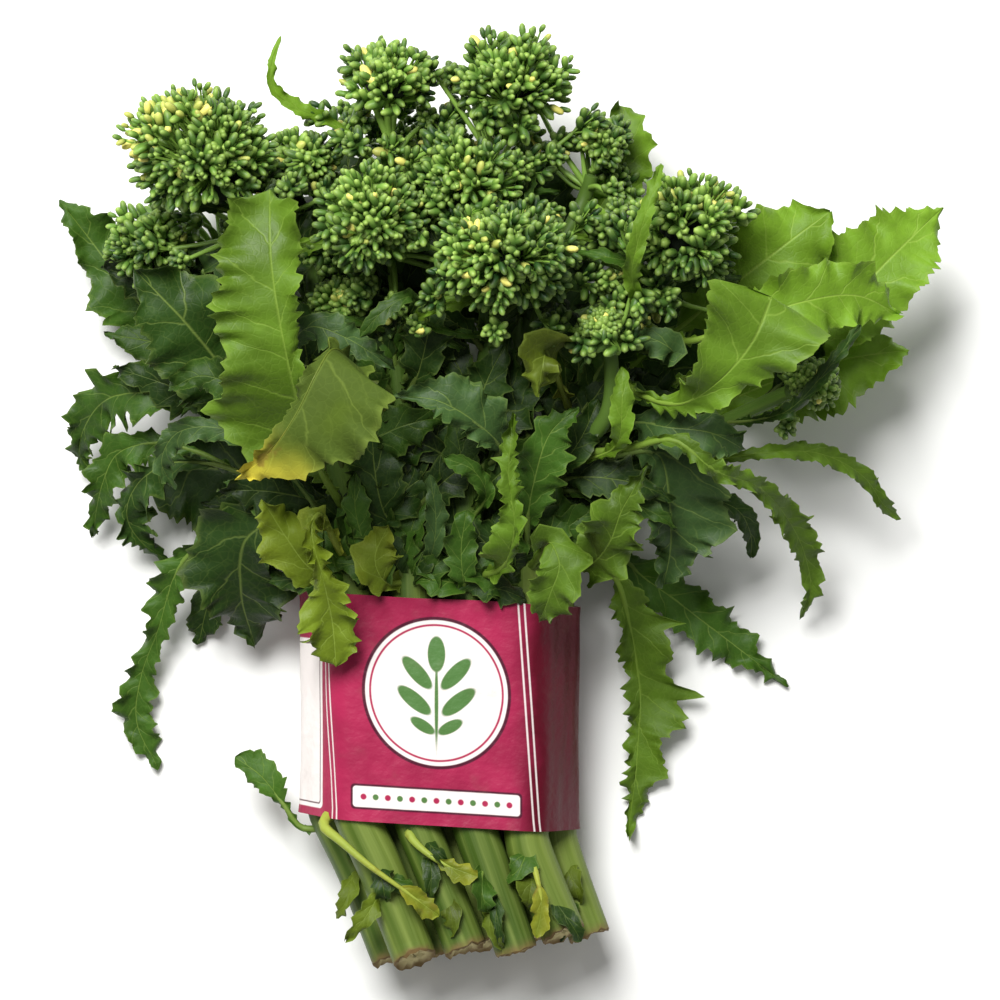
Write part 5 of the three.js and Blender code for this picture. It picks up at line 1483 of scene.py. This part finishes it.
class RaabStalkSettings(bpy.types.PropertyGroup):
    """The stalks' sizes and colours."""
    ridges: a_number("Ridges", "Ridges round a stalk", 8, 3, 24)
    ridge_depth: a_share("Ridge depth", "Height of the ridges, as a share of a stalk's radius", 0.007, 0, 0.3)
    green: a_colour("Green", "Green of the stalks", 62, 86, 24)
    pale: a_colour("Pale", "Paler green of the stalks", 106, 124, 48)
    streak: a_colour("Streak", "Colour of the long streaks", 158, 172, 98)
    shoot: a_colour("Shoot", "Green of the stalks near their heads", 76, 108, 38)
    cut_rim: a_colour("Cut rim", "Brown of the rim of a cut end", 116, 94, 56)
    cut_pith: a_colour("Cut pith", "Tan of the middle of a cut end", 196, 184, 132)


class RaabBandSettings(bpy.types.PropertyGroup):
    """The band's thickness, its print, and the painted shade on its right side."""
    paper: a_length("Paper", "Thickness of the band's paper", 0.35)
    pink: a_colour("Pink", "Ground colour of the print", 164, 37, 76)
    # The deep pink is painted shade on the band's right side, and the mottle adds a little more at random.
    deep: a_colour("Deep pink", "Darker pink that the ground drifts to", 86, 8, 28)
    panel: a_colour("Panel", "White of the panels and pinstripes", 232, 224, 220)
    ink: a_colour("Ink", "Dark lines round the panels", 74, 20, 40)
    leaf: a_colour("Sprig", "Green of the printed sprig", 78, 116, 60)
    dirt: a_colour("Dirt", "Smudges on the paper", 120, 96, 80)


class RaabStageSettings(bpy.types.PropertyGroup):
    """The floor, the lights and the camera."""
    floor: a_colour("Floor", "Colour of the floor", 246, 246, 243)
    height: a_length("Camera height", "Height of the camera over the floor", 1460)
    seen: a_length("Seen width", "Width that the camera sees at the bunch's middle height", 360)
    middle: a_length("Middle height", "Height of the bunch where that width is measured", 60)
    sky: bpy.props.FloatProperty(
        name="Sky", description="Strength of the even light", default=0.29, min=0)
    lamp: bpy.props.FloatProperty(
        name="Lamp", description="Power of the large soft lamp", default=38.0, min=0, unit="POWER")


SETTINGS = {
    "raab_leaf": RaabLeafSettings,
    "raab_head": RaabHeadSettings,
    "raab_stalk": RaabStalkSettings,
    "raab_band": RaabBandSettings,
    "raab_stage": RaabStageSettings,
}


class RAAB_OT_stalks(bpy.types.Operator):
    """Grow the thirteen stalks"""
    bl_idname = "raab.stalks"
    bl_label = "Grow stalks"

    def execute(self, context):
        settings = context.scene.raab_stalk
        material = stalk_material(settings)
        for stalk in STALKS:
            grow_stalk(stalk, material, settings)
        return {"FINISHED"}


class RAAB_OT_leaves(bpy.types.Operator):
    """Grow the leaves, large and small"""
    bl_idname = "raab.leaves"
    bl_label = "Grow leaves"

    def execute(self, context):
        settings = context.scene.raab_leaf
        tints = sorted({leaf.tint for leaf in LEAVES})
        materials = {tint: leaf_material(tint, tuple(getattr(settings, tint)), settings) for tint in tints}
        for seed, leaf in enumerate(LEAVES):
            grow_leaf(leaf, seed, materials, settings)
        for seed, (name, fill) in enumerate(FILLS.items()):
            grow_fill(name, fill, seed, materials, settings)
        return {"FINISHED"}


class RAAB_OT_heads(bpy.types.Operator):
    """Grow the flower heads with their buds"""
    bl_idname = "raab.heads"
    bl_label = "Grow flower heads"

    def execute(self, context):
        settings = context.scene.raab_head
        material = bud_material(settings)
        for seed, (name, head) in enumerate(HEADS.items()):
            grow_head(name, head, seed, material, settings)
        return {"FINISHED"}


class RAAB_OT_band(bpy.types.Operator):
    """Wrap the printed paper band round the stalks"""
    bl_idname = "raab.band"
    bl_label = "Wrap band"

    def execute(self, context):
        settings = context.scene.raab_band
        make_band(band_material(settings), settings)
        return {"FINISHED"}


class RAAB_OT_stage(bpy.types.Operator):
    """Lay the floor and set the lights and the camera"""
    bl_idname = "raab.stage"
    bl_label = "Set the stage"

    def execute(self, context):
        settings = context.scene.raab_stage
        lay_floor(settings)
        light_scene(settings)
        place_camera(settings)
        return {"FINISHED"}


def lay_floor(settings):
    """A plain pale floor under the bunch."""
    shader = Shader("floor")
    grain = shader.noise(shader.place(), 30)
    shade = tuple(settings.floor)
    colour = shader.mix(grain * 0.5, shade, tuple(0.97 * c for c in shade))
    mesh = bpy.data.meshes.new("floor")
    corners = [(x * FLOOR_HALF, y * FLOOR_HALF, 0) for x, y in ((-1, -1), (1, -1), (1, 1), (-1, 1))]
    mesh.from_pydata(corners, [], [(0, 1, 2, 3)])
    mesh.materials.append(shader.finish(colour, 0.85))
    floor = bpy.data.objects.new("floor", mesh)
    bpy.context.scene.collection.objects.link(floor)


def light_scene(settings):
    """Even light from all round, and one large lamp above the heads' left side."""
    scene = bpy.context.scene
    world = bpy.data.worlds.new("soft studio")
    world.use_nodes = True
    sky = world.node_tree.nodes["Background"]
    sky.inputs["Color"].default_value = (1, 1, 1, 1)
    sky.inputs["Strength"].default_value = settings.sky
    scene.world = world
    scene.view_settings.view_transform = "Standard"
    lamp = bpy.data.lights.new("soft lamp", "AREA")
    lamp.shape = "SQUARE"
    lamp.size = LAMP_SIZE
    lamp.energy = settings.lamp
    placed = bpy.data.objects.new("soft lamp", lamp)
    placed.location = LAMP_AT
    placed.rotation_mode = "QUATERNION"
    placed.rotation_quaternion = (-Vector(LAMP_AT)).to_track_quat("-Z", "Y")
    scene.collection.objects.link(placed)


def place_camera(settings):
    """Straight above the bunch, with the flower heads at the top of the picture."""
    scene = bpy.context.scene
    camera = bpy.data.cameras.new("camera")
    camera.sensor_width = SENSOR
    camera.lens = SENSOR * (settings.height - settings.middle) / settings.seen
    placed = bpy.data.objects.new("camera", camera)
    placed.location = (ORIGIN[0], ORIGIN[1], settings.height)
    scene.collection.objects.link(placed)
    scene.camera = placed


OPERATORS = [RAAB_OT_stage, RAAB_OT_stalks, RAAB_OT_leaves, RAAB_OT_heads, RAAB_OT_band]


class RAAB_PT_panel(bpy.types.Panel):
    """The steps of the bunch and its settings"""
    bl_idname = "RAAB_PT_panel"
    bl_label = "Broccoli Raab Bunch"
    bl_space_type = "VIEW_3D"
    bl_region_type = "UI"
    bl_category = "Raab"

    def draw(self, context):
        for operator in OPERATORS:
            self.layout.operator(operator.bl_idname)
        for group in SETTINGS:
            box = self.layout.box()
            values = getattr(context.scene, group)
            for setting in values.bl_rna.properties:
                if not setting.is_readonly and setting.identifier != "name":
                    box.prop(values, setting.identifier)


CLASSES = [*SETTINGS.values(), *OPERATORS, RAAB_PT_panel]


def register():
    for made in CLASSES:
        bpy.utils.register_class(made)
    for name, group in SETTINGS.items():
        setattr(bpy.types.Scene, name, bpy.props.PointerProperty(type=group))


def unregister():
    for name in SETTINGS:
        delattr(bpy.types.Scene, name)
    for made in reversed(CLASSES):
        bpy.utils.unregister_class(made)


def main():
    """Builds the whole scene."""
    register()
    bpy.ops.raab.stage()
    bpy.ops.raab.stalks()
    bpy.ops.raab.leaves()
    bpy.ops.raab.heads()
    bpy.ops.raab.band()


if __name__ == "__main__":
    main()
